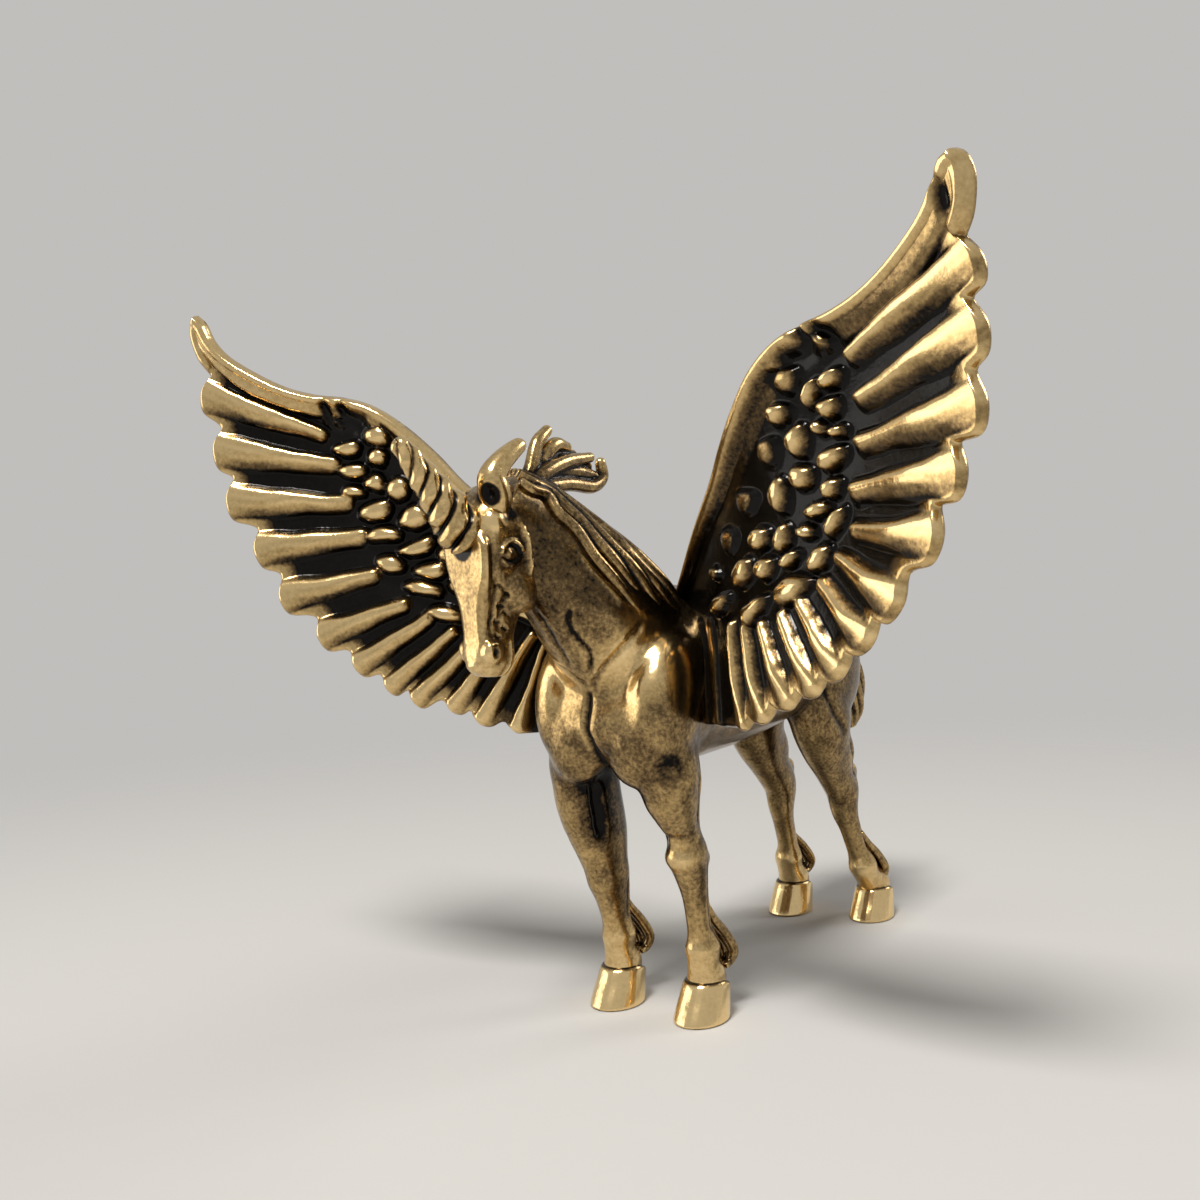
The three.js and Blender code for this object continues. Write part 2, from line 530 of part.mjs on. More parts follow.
// The left knee stands at the joint's height, and the right foreleg is heavier with a lower knee.
function foreLeg(hand) {
  const x = hand * HALF_TRACK;
  const ring = (height, thick, depth, lean) =>
    station(at(x, FORE_HOOF_Y - lean * FORE_LEAN, height), thick / 2, depth / 2);
  const upper = ring(ELBOW_HEIGHT + 2.8, 0.8 * FOREARM_THICK, 1.2 * FOREARM_THICK, 0.98);
  const slender = [
    ring(ELBOW_HEIGHT, FOREARM_THICK, 1.2 * FOREARM_THICK, 1),
    ring(ELBOW_HEIGHT - 1.8, 0.78 * FOREARM_THICK, 0.9 * FOREARM_THICK, 0.8),
    ring(KNEE_HEIGHT + 1.3, 0.84 * KNEE_THICK, 0.98 * KNEE_THICK, 0.58),
    ring(KNEE_HEIGHT, KNEE_THICK, 1.12 * KNEE_THICK, 0.45),
    ring(KNEE_HEIGHT - 1.2, 0.83 * KNEE_THICK, 0.94 * KNEE_THICK, 0.34),
    ring((KNEE_HEIGHT + FETLOCK_HEIGHT) / 2 + 0.2, CANNON_THICK, 1.2 * CANNON_THICK, 0.2),
    ring(FETLOCK_HEIGHT + 1.0, CANNON_THICK, 1.12 * CANNON_THICK, 0.08),
  ];
  const heavy = [
    ring(ELBOW_HEIGHT, 1.03 * FOREARM_THICK, 1.35 * FOREARM_THICK, 0.98),
    ring(ELBOW_HEIGHT - 1.8, FOREARM_THICK, 1.35 * FOREARM_THICK, 0.84),
    ring(KNEE_HEIGHT + 0.8, 0.86 * FOREARM_THICK, 1.22 * FOREARM_THICK, 0.56),
    ring(KNEE_HEIGHT - 1.1, KNEE_THICK, 1.38 * KNEE_THICK, 0.38),
    ring(KNEE_HEIGHT - 2.1, 0.96 * KNEE_THICK, 1.32 * KNEE_THICK, 0.3),
    ring((KNEE_HEIGHT + FETLOCK_HEIGHT) / 2 - 0.3, 1.25 * CANNON_THICK, 1.7 * CANNON_THICK, 0.18),
    ring(FETLOCK_HEIGHT + 1.1, 1.06 * CANNON_THICK, 1.4 * CANNON_THICK, 0.08),
  ];
  const foot = footStations(x, FORE_HOOF_Y, FORE_HOOF_Y);
  return loft([upper, ...(hand === LEFT ? slender : heavy), ...foot], ACROSS, { sides: 10 });
}

function hindLeg(hand) {
  const hoofY = HIND_HOOF_Y + hand * HIND_STAGGER;
  const ring = (height, thick, depth, y, narrowing) =>
    station(at(hand * (HALF_TRACK - narrowing * HOCK_NARROWING), y, height), thick / 2, depth / 2);
  const midGaskin = (STIFLE_HEIGHT + HOCK_HEIGHT) / 2 - 0.2;
  const midCannon = (HOCK_HEIGHT + FETLOCK_HEIGHT) / 2;
  return loft(
    [
      ring(STIFLE_HEIGHT + 4.0, 0.7 * GASKIN_THICK, 1.4 * GASKIN_THICK, STIFLE_Y + 0.2, 1),
      ring(STIFLE_HEIGHT + 1.5, 0.98 * GASKIN_THICK, 1.5 * GASKIN_THICK, STIFLE_Y - 0.1, 0.8),
      ring(STIFLE_HEIGHT - 0.6, 0.84 * GASKIN_THICK, 1.16 * GASKIN_THICK, STIFLE_Y + 0.5, 0.8),
      ring(midGaskin, 0.66 * GASKIN_THICK, 0.84 * GASKIN_THICK, (STIFLE_Y + HOCK_Y) / 2, 0.9),
      ring(HOCK_HEIGHT, 0.9 * HOCK_THICK, 1.16 * HOCK_THICK, HOCK_Y, 1),
      ring(HOCK_HEIGHT - 1.6, 0.76 * HOCK_THICK, 0.92 * HOCK_THICK, HOCK_Y + 0.15, 0.9),
      ring(midCannon, CANNON_THICK, 1.14 * CANNON_THICK, (HOCK_Y + FETLOCK_Y) / 2 - 0.25, 0.6),
      ring(FETLOCK_HEIGHT + 1.0, CANNON_THICK, 1.14 * CANNON_THICK, FETLOCK_Y - 0.35, 0.3),
      ...footStations(hand * HALF_TRACK, FETLOCK_Y, hoofY),
    ],
    ACROSS,
    { sides: 10 },
  );
}

// Fetlock, pastern and the flare down into the coronet, from the fetlock's place to the hoof's.
function footStations(x, fetlockY, hoofY) {
  const pasternY = (fetlockY + hoofY) / 2;
  return [
    station(at(x, fetlockY, FETLOCK_HEIGHT), 0.48 * FETLOCK_THICK, 0.54 * FETLOCK_THICK),
    station(at(x, pasternY, (FETLOCK_HEIGHT + CORONET_HEIGHT) / 2), 0.5 * PASTERN_THICK, 0.54 * PASTERN_THICK),
    station(at(x, hoofY + 0.3, CORONET_HEIGHT + 0.2), 0.38 * HOOF_WIDTH, 0.32 * HOOF_LENGTH),
    station(at(x, hoofY + 0.3, 0.5 * CORONET_HEIGHT), 0.34 * HOOF_WIDTH, 0.28 * HOOF_LENGTH),
  ];
}

// A hoof standing flat, flaring forward from the coronet to the sole.
function hoofForm(x, y, grow = 0) {
  const top = CORONET_HEIGHT;
  return loft(
    [
      station(at(x, y + 0.3, top), 0.41 * HOOF_WIDTH, 0.34 * HOOF_LENGTH),
      station(at(x, y + 0.12, 0.55 * top), 0.46 * HOOF_WIDTH, 0.43 * HOOF_LENGTH),
      station(at(x, y, 0), 0.5 * HOOF_WIDTH, 0.5 * HOOF_LENGTH),
    ],
    ACROSS,
    { sides: 16, grow, axis: at(0, 0, -1) },
  );
}

// A lock of hair behind a fetlock, curling back and down from the cannon.
function tuftForm(x, y) {
  const top = FETLOCK_HEIGHT + 0.62 * TUFT.length;
  const back = y + FETLOCK_THICK / 2;
  return loft(
    [
      station(at(x, back - 0.55, top), 0.5 * TUFT.thick, 0.4 * TUFT.thick),
      station(at(x, back + 0.3 * TUFT.reach, top - 0.4 * TUFT.length), 0.9 * TUFT.thick, 0.7 * TUFT.thick),
      station(at(x, back + 0.52 * TUFT.reach, top - 0.75 * TUFT.length), TUFT.thick, 0.75 * TUFT.thick),
      station(at(x, back + 0.3 * TUFT.reach, top - TUFT.length), 0.45 * TUFT.thick, 0.35 * TUFT.thick),
    ],
    ACROSS,
    { sides: 10, steps: 3 },
  );
}

// Tail: a short full switch lying down behind the quarters

const TAIL_ROOT = at(0, BUTTOCK - 1.4, DOCK_HEIGHT - 0.4);

function tailForm() {
  const drop = (share, reach, out) => at(out, BUTTOCK + reach * TAIL_REACH, DOCK_HEIGHT - share * TAIL_LENGTH);
  return loft(
    [
      station(TAIL_ROOT, 0.3 * TAIL_THICK, 0.3 * TAIL_THICK),
      station(drop(0.02, 0.1, 0), 0.4 * TAIL_THICK, 0.4 * TAIL_THICK),
      station(drop(0.22, 0.6, 0), 0.54 * TAIL_THICK, 0.5 * TAIL_THICK),
      station(drop(0.55, 0.9, 0.1), 0.6 * TAIL_THICK, 0.52 * TAIL_THICK),
      station(drop(0.84, 1.0, 0.2), 0.44 * TAIL_THICK, 0.4 * TAIL_THICK),
      station(drop(1, 0.92, 0.2), 0.14 * TAIL_THICK, 0.14 * TAIL_THICK),
    ],
    ACROSS,
    { sides: 12 },
  );
}

// Wings

const wingOut = at(Math.cos(WING_SWEEP), -Math.sin(WING_SWEEP), 0);
const wingFront = at(-Math.sin(WING_SWEEP), -Math.cos(WING_SWEEP), 0);

// Solves rows of coefficients that each end in their right-hand side.
function solve(rows) {
  const count = rows.length;
  for (let i = 0; i < count; i++) {
    let best = i;
    for (let r = i + 1; r < count; r++) if (Math.abs(rows[r][i]) > Math.abs(rows[best][i])) best = r;
    [rows[i], rows[best]] = [rows[best], rows[i]];
    for (let r = 0; r < count; r++) {
      if (r === i) continue;
      const share = rows[r][i] / rows[i][i];
      for (let k = i; k <= count; k++) rows[r][k] -= share * rows[i][k];
    }
  }
  return rows.map((row, i) => row[count] / row[i]);
}

// The plate bends like a thin sheet through the bulge's guide points.
const sheet = (out, high, [a, z]) => {
  const square = (out - a) ** 2 + (high - z) ** 2;
  return 0.5 * square * Math.log(square + 1e-9);
};
const bulgeWeights = solve([
  ...BULGE.map(([a, z, ahead], i) => [
    ...BULGE.map((g, j) => sheet(a, z, g) + (i === j ? 0.5 : 0)), 1, a, z, ahead,
  ]),
  ...[() => 1, ([a]) => a, ([, z]) => z].map((term) => [...BULGE.map(term), 0, 0, 0, 0]),
]);

function bulge(out, high) {
  const [level, slopeOut, slopeUp] = bulgeWeights.slice(BULGE.length);
  return BULGE.reduce((sum, g, i) => sum + bulgeWeights[i] * sheet(out, high, g), level + slopeOut * out + slopeUp * high);
}

// A place in the world from a place on a fan and a lift ahead of the plate's middle surface.
function wingSpot(out, high, lift = 0) {
  const tall = (WING_TIP_HEIGHT - WING_ROOT_HEIGHT) / (FAN.top - FAN.root);
  return wingPlace(out * (WING_REACH / FAN.reach), WING_ROOT_HEIGHT + (high - FAN.root) * tall, bulge(out, high) + lift);
}

const wingPlace = (out, high, ahead) =>
  WING_ROOT.clone().addScaledVector(wingOut, out).addScaledVector(UP, high).addScaledVector(wingFront, ahead);

const flatLine = (points) => new THREE.CatmullRomCurve3(points.map(([a, z]) => at(a, z, 0)), false, "centripetal");

// The scalloped edge of feather tips, from the inner foot to the wing's tip.
function tipEdge(foot, feathers) {
  const edge = [at(...foot, 0)];
  let upperBefore = null;
  for (const [rootOut, rootHigh, tipOut, tipHigh, , half] of feathers.toReversed()) {
    const tip = at(tipOut, tipHigh, 0);
    const along = tip.clone().sub(at(rootOut, rootHigh, 0)).normalize();
    const up = at(-along.y, along.x, 0);
    const corner = (side) => tip.clone().addScaledVector(up, side * 0.85 * half).addScaledVector(along, -0.3 * half);
    if (upperBefore) edge.push(upperBefore.lerp(corner(-1), 0.5).addScaledVector(along, -TIP_NOTCH));
    edge.push(corner(-1), tip, corner(1));
    upperBefore = corner(1);
  }
  return [...edge, ...TIP_EDGE.map(([a, z]) => at(a, z, 0))];
}

function wingPlate(leading, foot, feathers) {
  const rows = [[0, 0.5], [0.03, 1], [0.35, 1], [0.65, 1], [0.96, 1], [1, 0.5]];
  const edge = tipEdge(foot, feathers);
  const lead = flatLine(leading);
  const runs = edge.map((p, i) => (i ? p.distanceTo(edge[i - 1]) : 0));
  const total = runs.reduce((a, b) => a + b) + edge[edge.length - 1].distanceTo(lead.getPointAt(1));
  let run = 0;
  const rings = edge.map((tip, i) => {
    run += runs[i];
    const start = lead.getPointAt(run / total);
    const point = ([v, thick], sign) => {
      const flat = start.clone().lerp(tip, v);
      return wingSpot(flat.x, flat.y, (sign * thick * WING_THICK) / 2);
    };
    return [...rows.map((row) => point(row, 1)), ...rows.toReversed().map((row) => point(row, -1))];
  });
  return solidOf(closedRings(rings));
}

// The rolled leading edge.
function wingRim(leading) {
  const lead = flatLine(leading);
  const count = 2 * (RIM_WIDTH.length - 1);
  const stations = [];
  for (let i = 0; i <= count; i++) {
    const share = 0.005 + (0.985 * i) / count;
    const place = (share * (RIM_WIDTH.length - 1)) % 1;
    const before = Math.floor(share * (RIM_WIDTH.length - 1));
    const width = THREE.MathUtils.lerp(RIM_WIDTH[before], RIM_WIDTH[before + 1], place);
    const tangent = lead.getTangentAt(share);
    const middle = lead.getPointAt(share).addScaledVector(at(tangent.y, -tangent.x, 0), width / 2);
    stations.push(station(wingSpot(middle.x, middle.y), WING_THICK / 2 + RIM_RISE, width / 2));
  }
  return loft(stations, wingFront, { sides: 6, steps: 1 });
}

// The first feather, a low band inside the leading edge.
function firstFeather() {
  const stations = FIRST_FEATHER.map(([a, z, half]) =>
    station(wingSpot(a, z), WING_THICK / 2 + FIRST_FEATHER_RISE, half),
  );
  return loft(stations, wingFront, { sides: 6, steps: 1 });
}

// Any other feather: it stands highest along a crest near its upper edge and falls gently to its lower one.
function featherRib([rootOut, rootHigh, tipOut, tipHigh, rootHalf, tipHalf]) {
  const section = [[0.9, 0.15], [0.55, 0.95], [-0.45, 0.7], [-1.08, 0.1], [-1.08, -1], [0.9, -1]];
  const rows = [[-0.03, 0.6, 0.3], [0.07, 1, 0.95], [0.62, 1, 1], [0.95, 0.9, 0.7], [0.99, 0.6, 0.45]];
  const start = at(rootOut, rootHigh, 0);
  const step = at(tipOut, tipHigh, 0).sub(start);
  const up = at(-step.y, step.x, 0).normalize();
  const rings = rows.map(([share, wide, high]) => {
    const half = wide * (rootHalf + (tipHalf - rootHalf) * Math.max(share, 0) ** 1.5);
    return section.map(([side, height]) => {
      const flat = start.clone().addScaledVector(step, share).addScaledVector(up, side * half);
      return wingSpot(flat.x, flat.y, height < 0 ? 0.05 : WING_THICK / 2 + height * high * FEATHER_RISE);
    });
  });
  return solidOf(closedRings(rings));
}

// A covert: a short bead-like feather between the leading edge and the flight feathers.
function wingBead([out, high, length, width, turn]) {
  const angle = THREE.MathUtils.degToRad(turn);
  const along = wingOut.clone().multiplyScalar(Math.cos(angle)).addScaledVector(UP, Math.sin(angle));
  const bead = new THREE.SphereGeometry(1, 6, 3);
  bead.scale(width / 2, 0.78 * BEAD_RISE, length / 2);
  bead.applyMatrix4(new THREE.Matrix4().makeBasis(wingFront.clone().cross(along), wingFront, along));
  const here = wingSpot(out, high, WING_THICK / 2 + 0.22 * BEAD_RISE);
  bead.translate(here.x, here.y, here.z);
  return solidOf(bead);
}

// A whole wing, drawn on the left side.
function wingForm(leading, foot, feathers, beads) {
  const ribs = feathers.map(featherRib);
  return join(wingPlate(leading, foot, feathers), wingRim(leading), firstFeather(), ...ribs, ...beads.map(wingBead));
}

// The flat tongue at the wing's root, and the slot in the flank that takes it.
function wingTongue(play) {
  const [thick, wide] = [WING_TONGUE.thickness + 2 * play, WING_TONGUE.width + 2 * play];
  const geometry = new THREE.BoxGeometry(2 * WING_TONGUE.length, thick, wide);
  geometry.rotateZ(-WING_SWEEP);
  const reach = (CHEST_WIDTH / 2 - WING_ROOT.x) / Math.cos(WING_SWEEP) + 0.6 - play;
  const seat = wingPlace(reach, (WITHERS_HEIGHT + GIRTH_HEIGHT) / 2, TONGUE_AHEAD);
  geometry.translate(seat.x, seat.y, seat.z);
  return solidOf(geometry);
}

function mirrored(solid) {
  const geometry = geometryOf(solid);
  geometry.scale(-1, 1, 1);
  const faces = geometry.index.array;
  for (let i = 0; i < faces.length; i += 3) [faces[i + 1], faces[i + 2]] = [faces[i + 2], faces[i + 1]];
  return solidOf(geometry);
}

// Assembly

const brass = (colour, roughness) => new THREE.MeshStandardMaterial({ color: colour, roughness, metalness: 1 });
const bodyBrass = brass(0x9c7a3c, 0.34);
const wingBrass = brass(0xb08a44, 0.3);
const hairBrass = brass(0x6f5730, 0.42);

const figurine = new THREE.Group();
figurine.name = "pegasus_figurine";

function place(name, solid, material) {
  const mesh = new THREE.Mesh(geometryOf(solid), material);
  mesh.name = name;
  figurine.add(mesh);
}

const hands = [
  ["left", LEFT],
  ["right", RIGHT],
];

let trunk = trunkForm(0);
const trunkTool = trunkForm(SEAM_GAP);
const headTool = headForm(SEAM_GAP);
const neckTool = neckForm(SEAM_GAP);

// Neck on the trunk, head on the neck
const neckAlong = POLL.clone().sub(NECK_ROOT).normalize();
const neckJoint = pegAndSocket(NECK_ROOT.clone().addScaledVector(neckAlong, 4.2), neckAlong, NECK_PEG);
const headJoint = pegAndSocket(POLL.clone().addScaledVector(neckAlong, -1.4), neckAlong, HEAD_PEG);
trunk = trunk.subtract(neckJoint.socket);
const neck = join(cut(neckForm(0), trunkTool, headTool), neckJoint.peg).subtract(headJoint.socket);
let head = join(headForm(0), headJoint.peg.intersect(join(headTool, neckForm(-SEAM_GAP))));

// Horn in the forehead
const hornJoint = pegAndSocket(HORN_ROOT, hornAxis.clone().negate(), HORN_PEG);
const horn = join(cut(hornForm(), headTool), hornJoint.peg);
head = head.subtract(hornJoint.socket);

place("horn", horn, wingBrass);
place("head", mainBody(head), bodyBrass);
place("neck", mainBody(neck), bodyBrass);

const ears = hands.map(([name, hand]) => [name, cut(earForm(hand), headTool, neckTool)]);
ears.forEach(([name, ear]) => place(`ear_${name}`, ear, bodyBrass));

const locks = LOCKS.map(maneLock);
const mane = cut(join(maneCrest(), ...locks), neckTool, headTool, trunkTool, ...[LEFT, RIGHT].map(earForm));
place("mane", mane, hairBrass);

// Tail on the quarters
const tailJoint = pegAndSocket(TAIL_ROOT, at(0, -0.9, -0.436), TAIL_PEG);
trunk = trunk.subtract(tailJoint.socket);
place("tail", join(cut(tailForm(), trunkTool), tailJoint.peg), hairBrass);

// Legs under the trunk, each with its hoof and its tuft
for (const [name, hand] of hands) {
  const x = hand * HALF_TRACK;
  const hindX = x - 0.8 * hand * HOCK_NARROWING;
  const hindY = HIND_HOOF_Y + hand * HIND_STAGGER;
  const limbs = [
    ["fore", foreLeg(hand), FORE_HOOF_Y, FORE_HOOF_Y, at(x, FORE_HOOF_Y - FORE_LEAN, ELBOW_HEIGHT + 0.6)],
    ["hind", hindLeg(hand), FETLOCK_Y, hindY, at(hindX, STIFLE_Y, STIFLE_HEIGHT + 1.2)],
  ];
  for (const [end, form, fetlockY, hoofY, seam] of limbs) {
    const legJoint = pegAndSocket(seam, UP, LEG_PEG);
    const hoofJoint = pegAndSocket(at(x, hoofY + 0.3, CORONET_HEIGHT), UP, HOOF_PEG);
    trunk = trunk.subtract(legJoint.socket);
    const leg = join(cut(form, trunkTool, hoofForm(x, hoofY, SEAM_GAP)), legJoint.peg).subtract(hoofJoint.socket);
    place(`${end}leg_${name}`, mainBody(leg), bodyBrass);
    place(`hoof_${end}_${name}`, join(hoofForm(x, hoofY), hoofJoint.peg), wingBrass);
    place(`fetlock_tuft_${end}_${name}`, cut(tuftForm(x, fetlockY), form), hairBrass);
  }
}

// Wings in the flanks
const fitted = (form) => join(cut(form, trunkTool), wingTongue(0));
const leftWing = fitted(wingForm(LEFT_LEADING, LEFT_FOOT, LEFT_FEATHERS, LEFT_BEADS));
const rightWing = mirrored(fitted(wingForm(RIGHT_LEADING, RIGHT_FOOT, RIGHT_FEATHERS, RIGHT_BEADS)));
trunk = trunk.subtract(wingTongue(PEG_PLAY)).subtract(mirrored(wingTongue(PEG_PLAY)));
place("wing_left", cut(leftWing, neckTool), wingBrass);
place("wing_right", cut(rightWing, neckTool), wingBrass);
place("trunk", mainBody(trunk), bodyBrass);

// Stand the figure on the ground, centred on its footprint
const box = new THREE.Box3().setFromObject(figurine);
figurine.children.forEach((mesh) =>
  mesh.position.set(-(box.min.x + box.max.x) / 2, -(box.min.y + box.max.y) / 2, -box.min.z),
);

export default figurine;
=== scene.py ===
"""A winged and horned horse in antiqued brass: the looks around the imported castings."""

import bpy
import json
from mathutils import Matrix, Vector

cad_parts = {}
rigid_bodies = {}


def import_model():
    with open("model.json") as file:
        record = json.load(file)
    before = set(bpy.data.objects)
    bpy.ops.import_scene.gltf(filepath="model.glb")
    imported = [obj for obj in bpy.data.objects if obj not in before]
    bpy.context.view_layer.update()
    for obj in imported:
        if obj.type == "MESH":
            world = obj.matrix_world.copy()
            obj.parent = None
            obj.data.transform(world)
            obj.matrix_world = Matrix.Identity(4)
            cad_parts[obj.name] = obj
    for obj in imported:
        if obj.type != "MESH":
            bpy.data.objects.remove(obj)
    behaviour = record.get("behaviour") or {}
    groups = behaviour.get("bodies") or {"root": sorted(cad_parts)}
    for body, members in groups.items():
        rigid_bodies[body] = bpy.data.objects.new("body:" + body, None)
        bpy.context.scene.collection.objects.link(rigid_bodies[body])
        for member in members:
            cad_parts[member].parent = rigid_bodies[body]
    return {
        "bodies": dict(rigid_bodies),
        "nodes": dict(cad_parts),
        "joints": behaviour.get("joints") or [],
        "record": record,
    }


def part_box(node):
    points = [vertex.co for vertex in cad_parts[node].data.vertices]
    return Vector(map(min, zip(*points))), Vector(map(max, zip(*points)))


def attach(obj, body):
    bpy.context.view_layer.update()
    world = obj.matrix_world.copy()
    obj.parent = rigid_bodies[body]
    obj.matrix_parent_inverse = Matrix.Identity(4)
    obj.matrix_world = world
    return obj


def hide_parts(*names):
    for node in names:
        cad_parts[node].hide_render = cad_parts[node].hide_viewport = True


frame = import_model()

import copy
import json
import logging
import math
from dataclasses import dataclass
from enum import Enum
from typing import Sequence

import bmesh
import bpy
import numpy as np
from mathutils import Matrix, Vector

Row = Sequence[float]
Rows = tuple[Row, ...]
Socket = bpy.types.NodeSocket
Tree = bpy.types.NodeTree

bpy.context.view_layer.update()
LOG = logging.getLogger("figurine")
MM = 0.001
ACROSS = np.array([1.0, 0.0, 0.0])
# Places in the horse's frame, in millimetres: x to its left, y behind it, z above the ground
FORE_HOOF_Y = -11.1
HIND_FETLOCK_Y = 12.7
FETLOCK_HEIGHT = 4.5
HALF_TRACK = 3.2
# Places in the head's frame, in millimetres
HORN_FOOT = (0.0, -1.74, -3.26)
HORN_TIP = (0.0, -6.75, 2.3)


class Hand(Enum):
    """The two sides of the horse, as the sign of X."""

    LEFT = 1
    RIGHT = -1

    @property
    def side(self) -> str:
        """The side's name, left or right."""
        return self.name.lower()


class Slot(Enum):
    """The record's material slots."""

    POLISHED = "brass_polished"
    PATINA = "brass_patina"
    DARK = "brass_dark"


def feed(tree: Tree, node: bpy.types.Node, inputs: dict[str | int, object]) -> None:
    """Fills a shader node's sockets.

    Args:
        tree: The nodes it is in.
        node: The node.
        inputs: What goes into its sockets: numbers, colours or other nodes' sockets.
    """
    for name, value in inputs.items():
        if isinstance(value, Socket):
            tree.links.new(value, node.inputs[name])
        else:
            node.inputs[name].default_value = value


def add_node(tree: Tree, kind: str, inputs: dict[str | int, object], **settings: object) -> bpy.types.Node:
    """Adds a shader node.

    Args:
        tree: The nodes to add it to.
        kind: Its type.
        inputs: What goes into its sockets.
        settings: Its settings.

    Returns:
        The node.
    """
    node = tree.nodes.new(f"ShaderNode{kind}")
    for name, value in settings.items():
        setattr(node, name, value)
    feed(tree, node, inputs)
    return node


@dataclass(frozen=True)
class BrassFinish:
    """An antiqued brass: bare metal where it is rubbed, brown on plain skin, black in the hollows."""

    name: str
    bare: Row = (0.86, 0.64, 0.32)
    worn: Row = (0.52, 0.36, 0.155)
    brown: Row = (0.17, 0.112, 0.052)
    black: Row = (0.005, 0.0042, 0.0036)
    mottle: float = 0.3
    speckle: float = 0.38
    bare_roughness: float = 0.16
    brown_roughness: float = 0.25
    black_roughness: float = 0.17
    black_metal: float = 0.35
    gloss: float = 0.15
    grain: float = 0.3
    grain_depth: float = 0.00006
    mark_gain: float = 3.2
    mark_floor: float = 0.2
    # Noises as waves to the metre, octaves and strength of the finer octaves
    clouds: Row = (820.0, 5.0, 0.62)
    flecks: Row = (4400.0, 3.0, 0.6)
    pits: Row = (2300.0, 4.0, 0.65)

    def material(self) -> bpy.types.Material:
        """Builds the finish as a node material that reads the piece's patina.

        Returns:
            The material.
        """
        made = bpy.data.materials.new(self.name)
        made.use_nodes = True
        tree = made.node_tree
        place = add_node(tree, "TexCoord", {}).outputs["Object"]
        depth = add_node(tree, "Attribute", {}, attribute_name="patina").outputs["Fac"]
        noises = (self.clouds, self.flecks, self.pits)
        clouds, flecks, pits = (self._noise(tree, place, noise) for noise in noises)
        stain = self._math(tree, "MULTIPLY_ADD", clouds, 2 * self.mottle, -self.mottle)
        spots = self._math(tree, "MULTIPLY_ADD", flecks, 2 * self.speckle, -self.speckle)
        marks = self._math(tree, "ADD", stain, spots)
        # The marks show most where the skin is half toned, and die out on bare metal and in black hollows
        open_skin = self._math(tree, "SUBTRACT", 1.0, depth)
        half_tone = self._math(tree, "MULTIPLY", depth, open_skin)
        amount = self._math(tree, "MULTIPLY_ADD", half_tone, self.mark_gain, self.mark_floor)
        shown = self._math(tree, "MULTIPLY_ADD", marks, amount, depth)
        colours = ((0.0, self.bare), (0.3, self.worn), (0.6, self.brown), (0.86, self.black))
        levels = ((0.05, self.bare_roughness), (0.5, self.brown_roughness), (0.9, self.black_roughness))
        metal = {"Value": shown, "From Min": 0.7, "To Min": 1.0, "To Max": self.black_metal}
        bump = {"Distance": self.grain_depth, "Strength": self.grain, "Height": pits}
        feed(tree, tree.nodes["Principled BSDF"], {
            "Base Color": self._ramp(tree, shown, colours),
            "Roughness": self._ramp(tree, shown, [(at, [level] * 3) for at, level in levels]),
            "Metallic": add_node(tree, "MapRange", metal).outputs["Result"],
            "Specular IOR Level": self.gloss,
            "Normal": add_node(tree, "Bump", bump).outputs["Normal"]})
        return made

    @staticmethod
    def _ramp(tree: Tree, share: Socket, stops: Sequence[tuple[float, Row]]) -> Socket:
        """Adds a colour ramp.

        Args:
            tree: The material's nodes.
            share: The way along the ramp.
            stops: Its places and colours.

        Returns:
            The colour's socket.
        """
        node = add_node(tree, "ValToRGB", {"Fac": share})
        elements = node.color_ramp.elements
        while len(elements) < len(stops):
            elements.new(0.5)
        for element, (at, colour) in zip(elements, stops):
            element.position = at
            element.color = (*colour, 1.0)
        return node.outputs["Color"]

    @staticmethod
    def _noise(tree: Tree, place: Socket, noise: Row) -> Socket:
        """Adds a noise over the piece, from 0 to 1."""
        inputs = dict(zip(("Scale", "Detail", "Roughness"), noise), Vector=place)
        return add_node(tree, "TexNoise", inputs).outputs["Fac"]

    @staticmethod
    def _math(tree: Tree, operation: str, *values: Socket | float) -> Socket:
        """Adds a sum of sockets or numbers."""
        return add_node(tree, "Math", dict(enumerate(values)), operation=operation).outputs[0]


def spline(rows: Sequence[Row], per: int) -> np.ndarray:
    """Runs a smooth line through rows of numbers.

    Args:
        rows: The rows to pass through.
        per: Steps between two rows.

    Returns:
        The rows of the line.
    """
    p = np.asarray(rows, float)
    p = np.vstack([2 * p[0] - p[1], p, 2 * p[-1] - p[-2]])
    w = (np.arange(per) / per)[:, None]
    spans = []
    for i in range(1, len(p) - 2):
        a, b, c, d = p[i - 1 : i + 3]
        cubic = (3 * b - a - 3 * c + d) * w**3
        spans.append(0.5 * (2 * b + (c - a) * w + (2 * a - 5 * b + 4 * c - d) * w**2 + cubic))
    return np.vstack([*spans, p[-2:-1]])


def read_line(line: np.ndarray, at: np.ndarray | float, run: np.ndarray | None = None) -> np.ndarray:
    """Reads a line between its rows.

    Args:
        line: The line's rows.
        at: Where to read it.
        run: How far along each row lies, its number by default.

    Returns:
        The rows read.
    """
    run = np.arange(len(line)) if run is None else run
    return np.stack([np.interp(at, run, column) for column in line.T], -1)


def smoothstep(low: float, high: float, x: np.ndarray) -> np.ndarray:
    """Eases from 0 at low to 1 at high."""
    t = np.clip((x - low) / (high - low), 0, 1)
    return t * t * (3 - 2 * t)


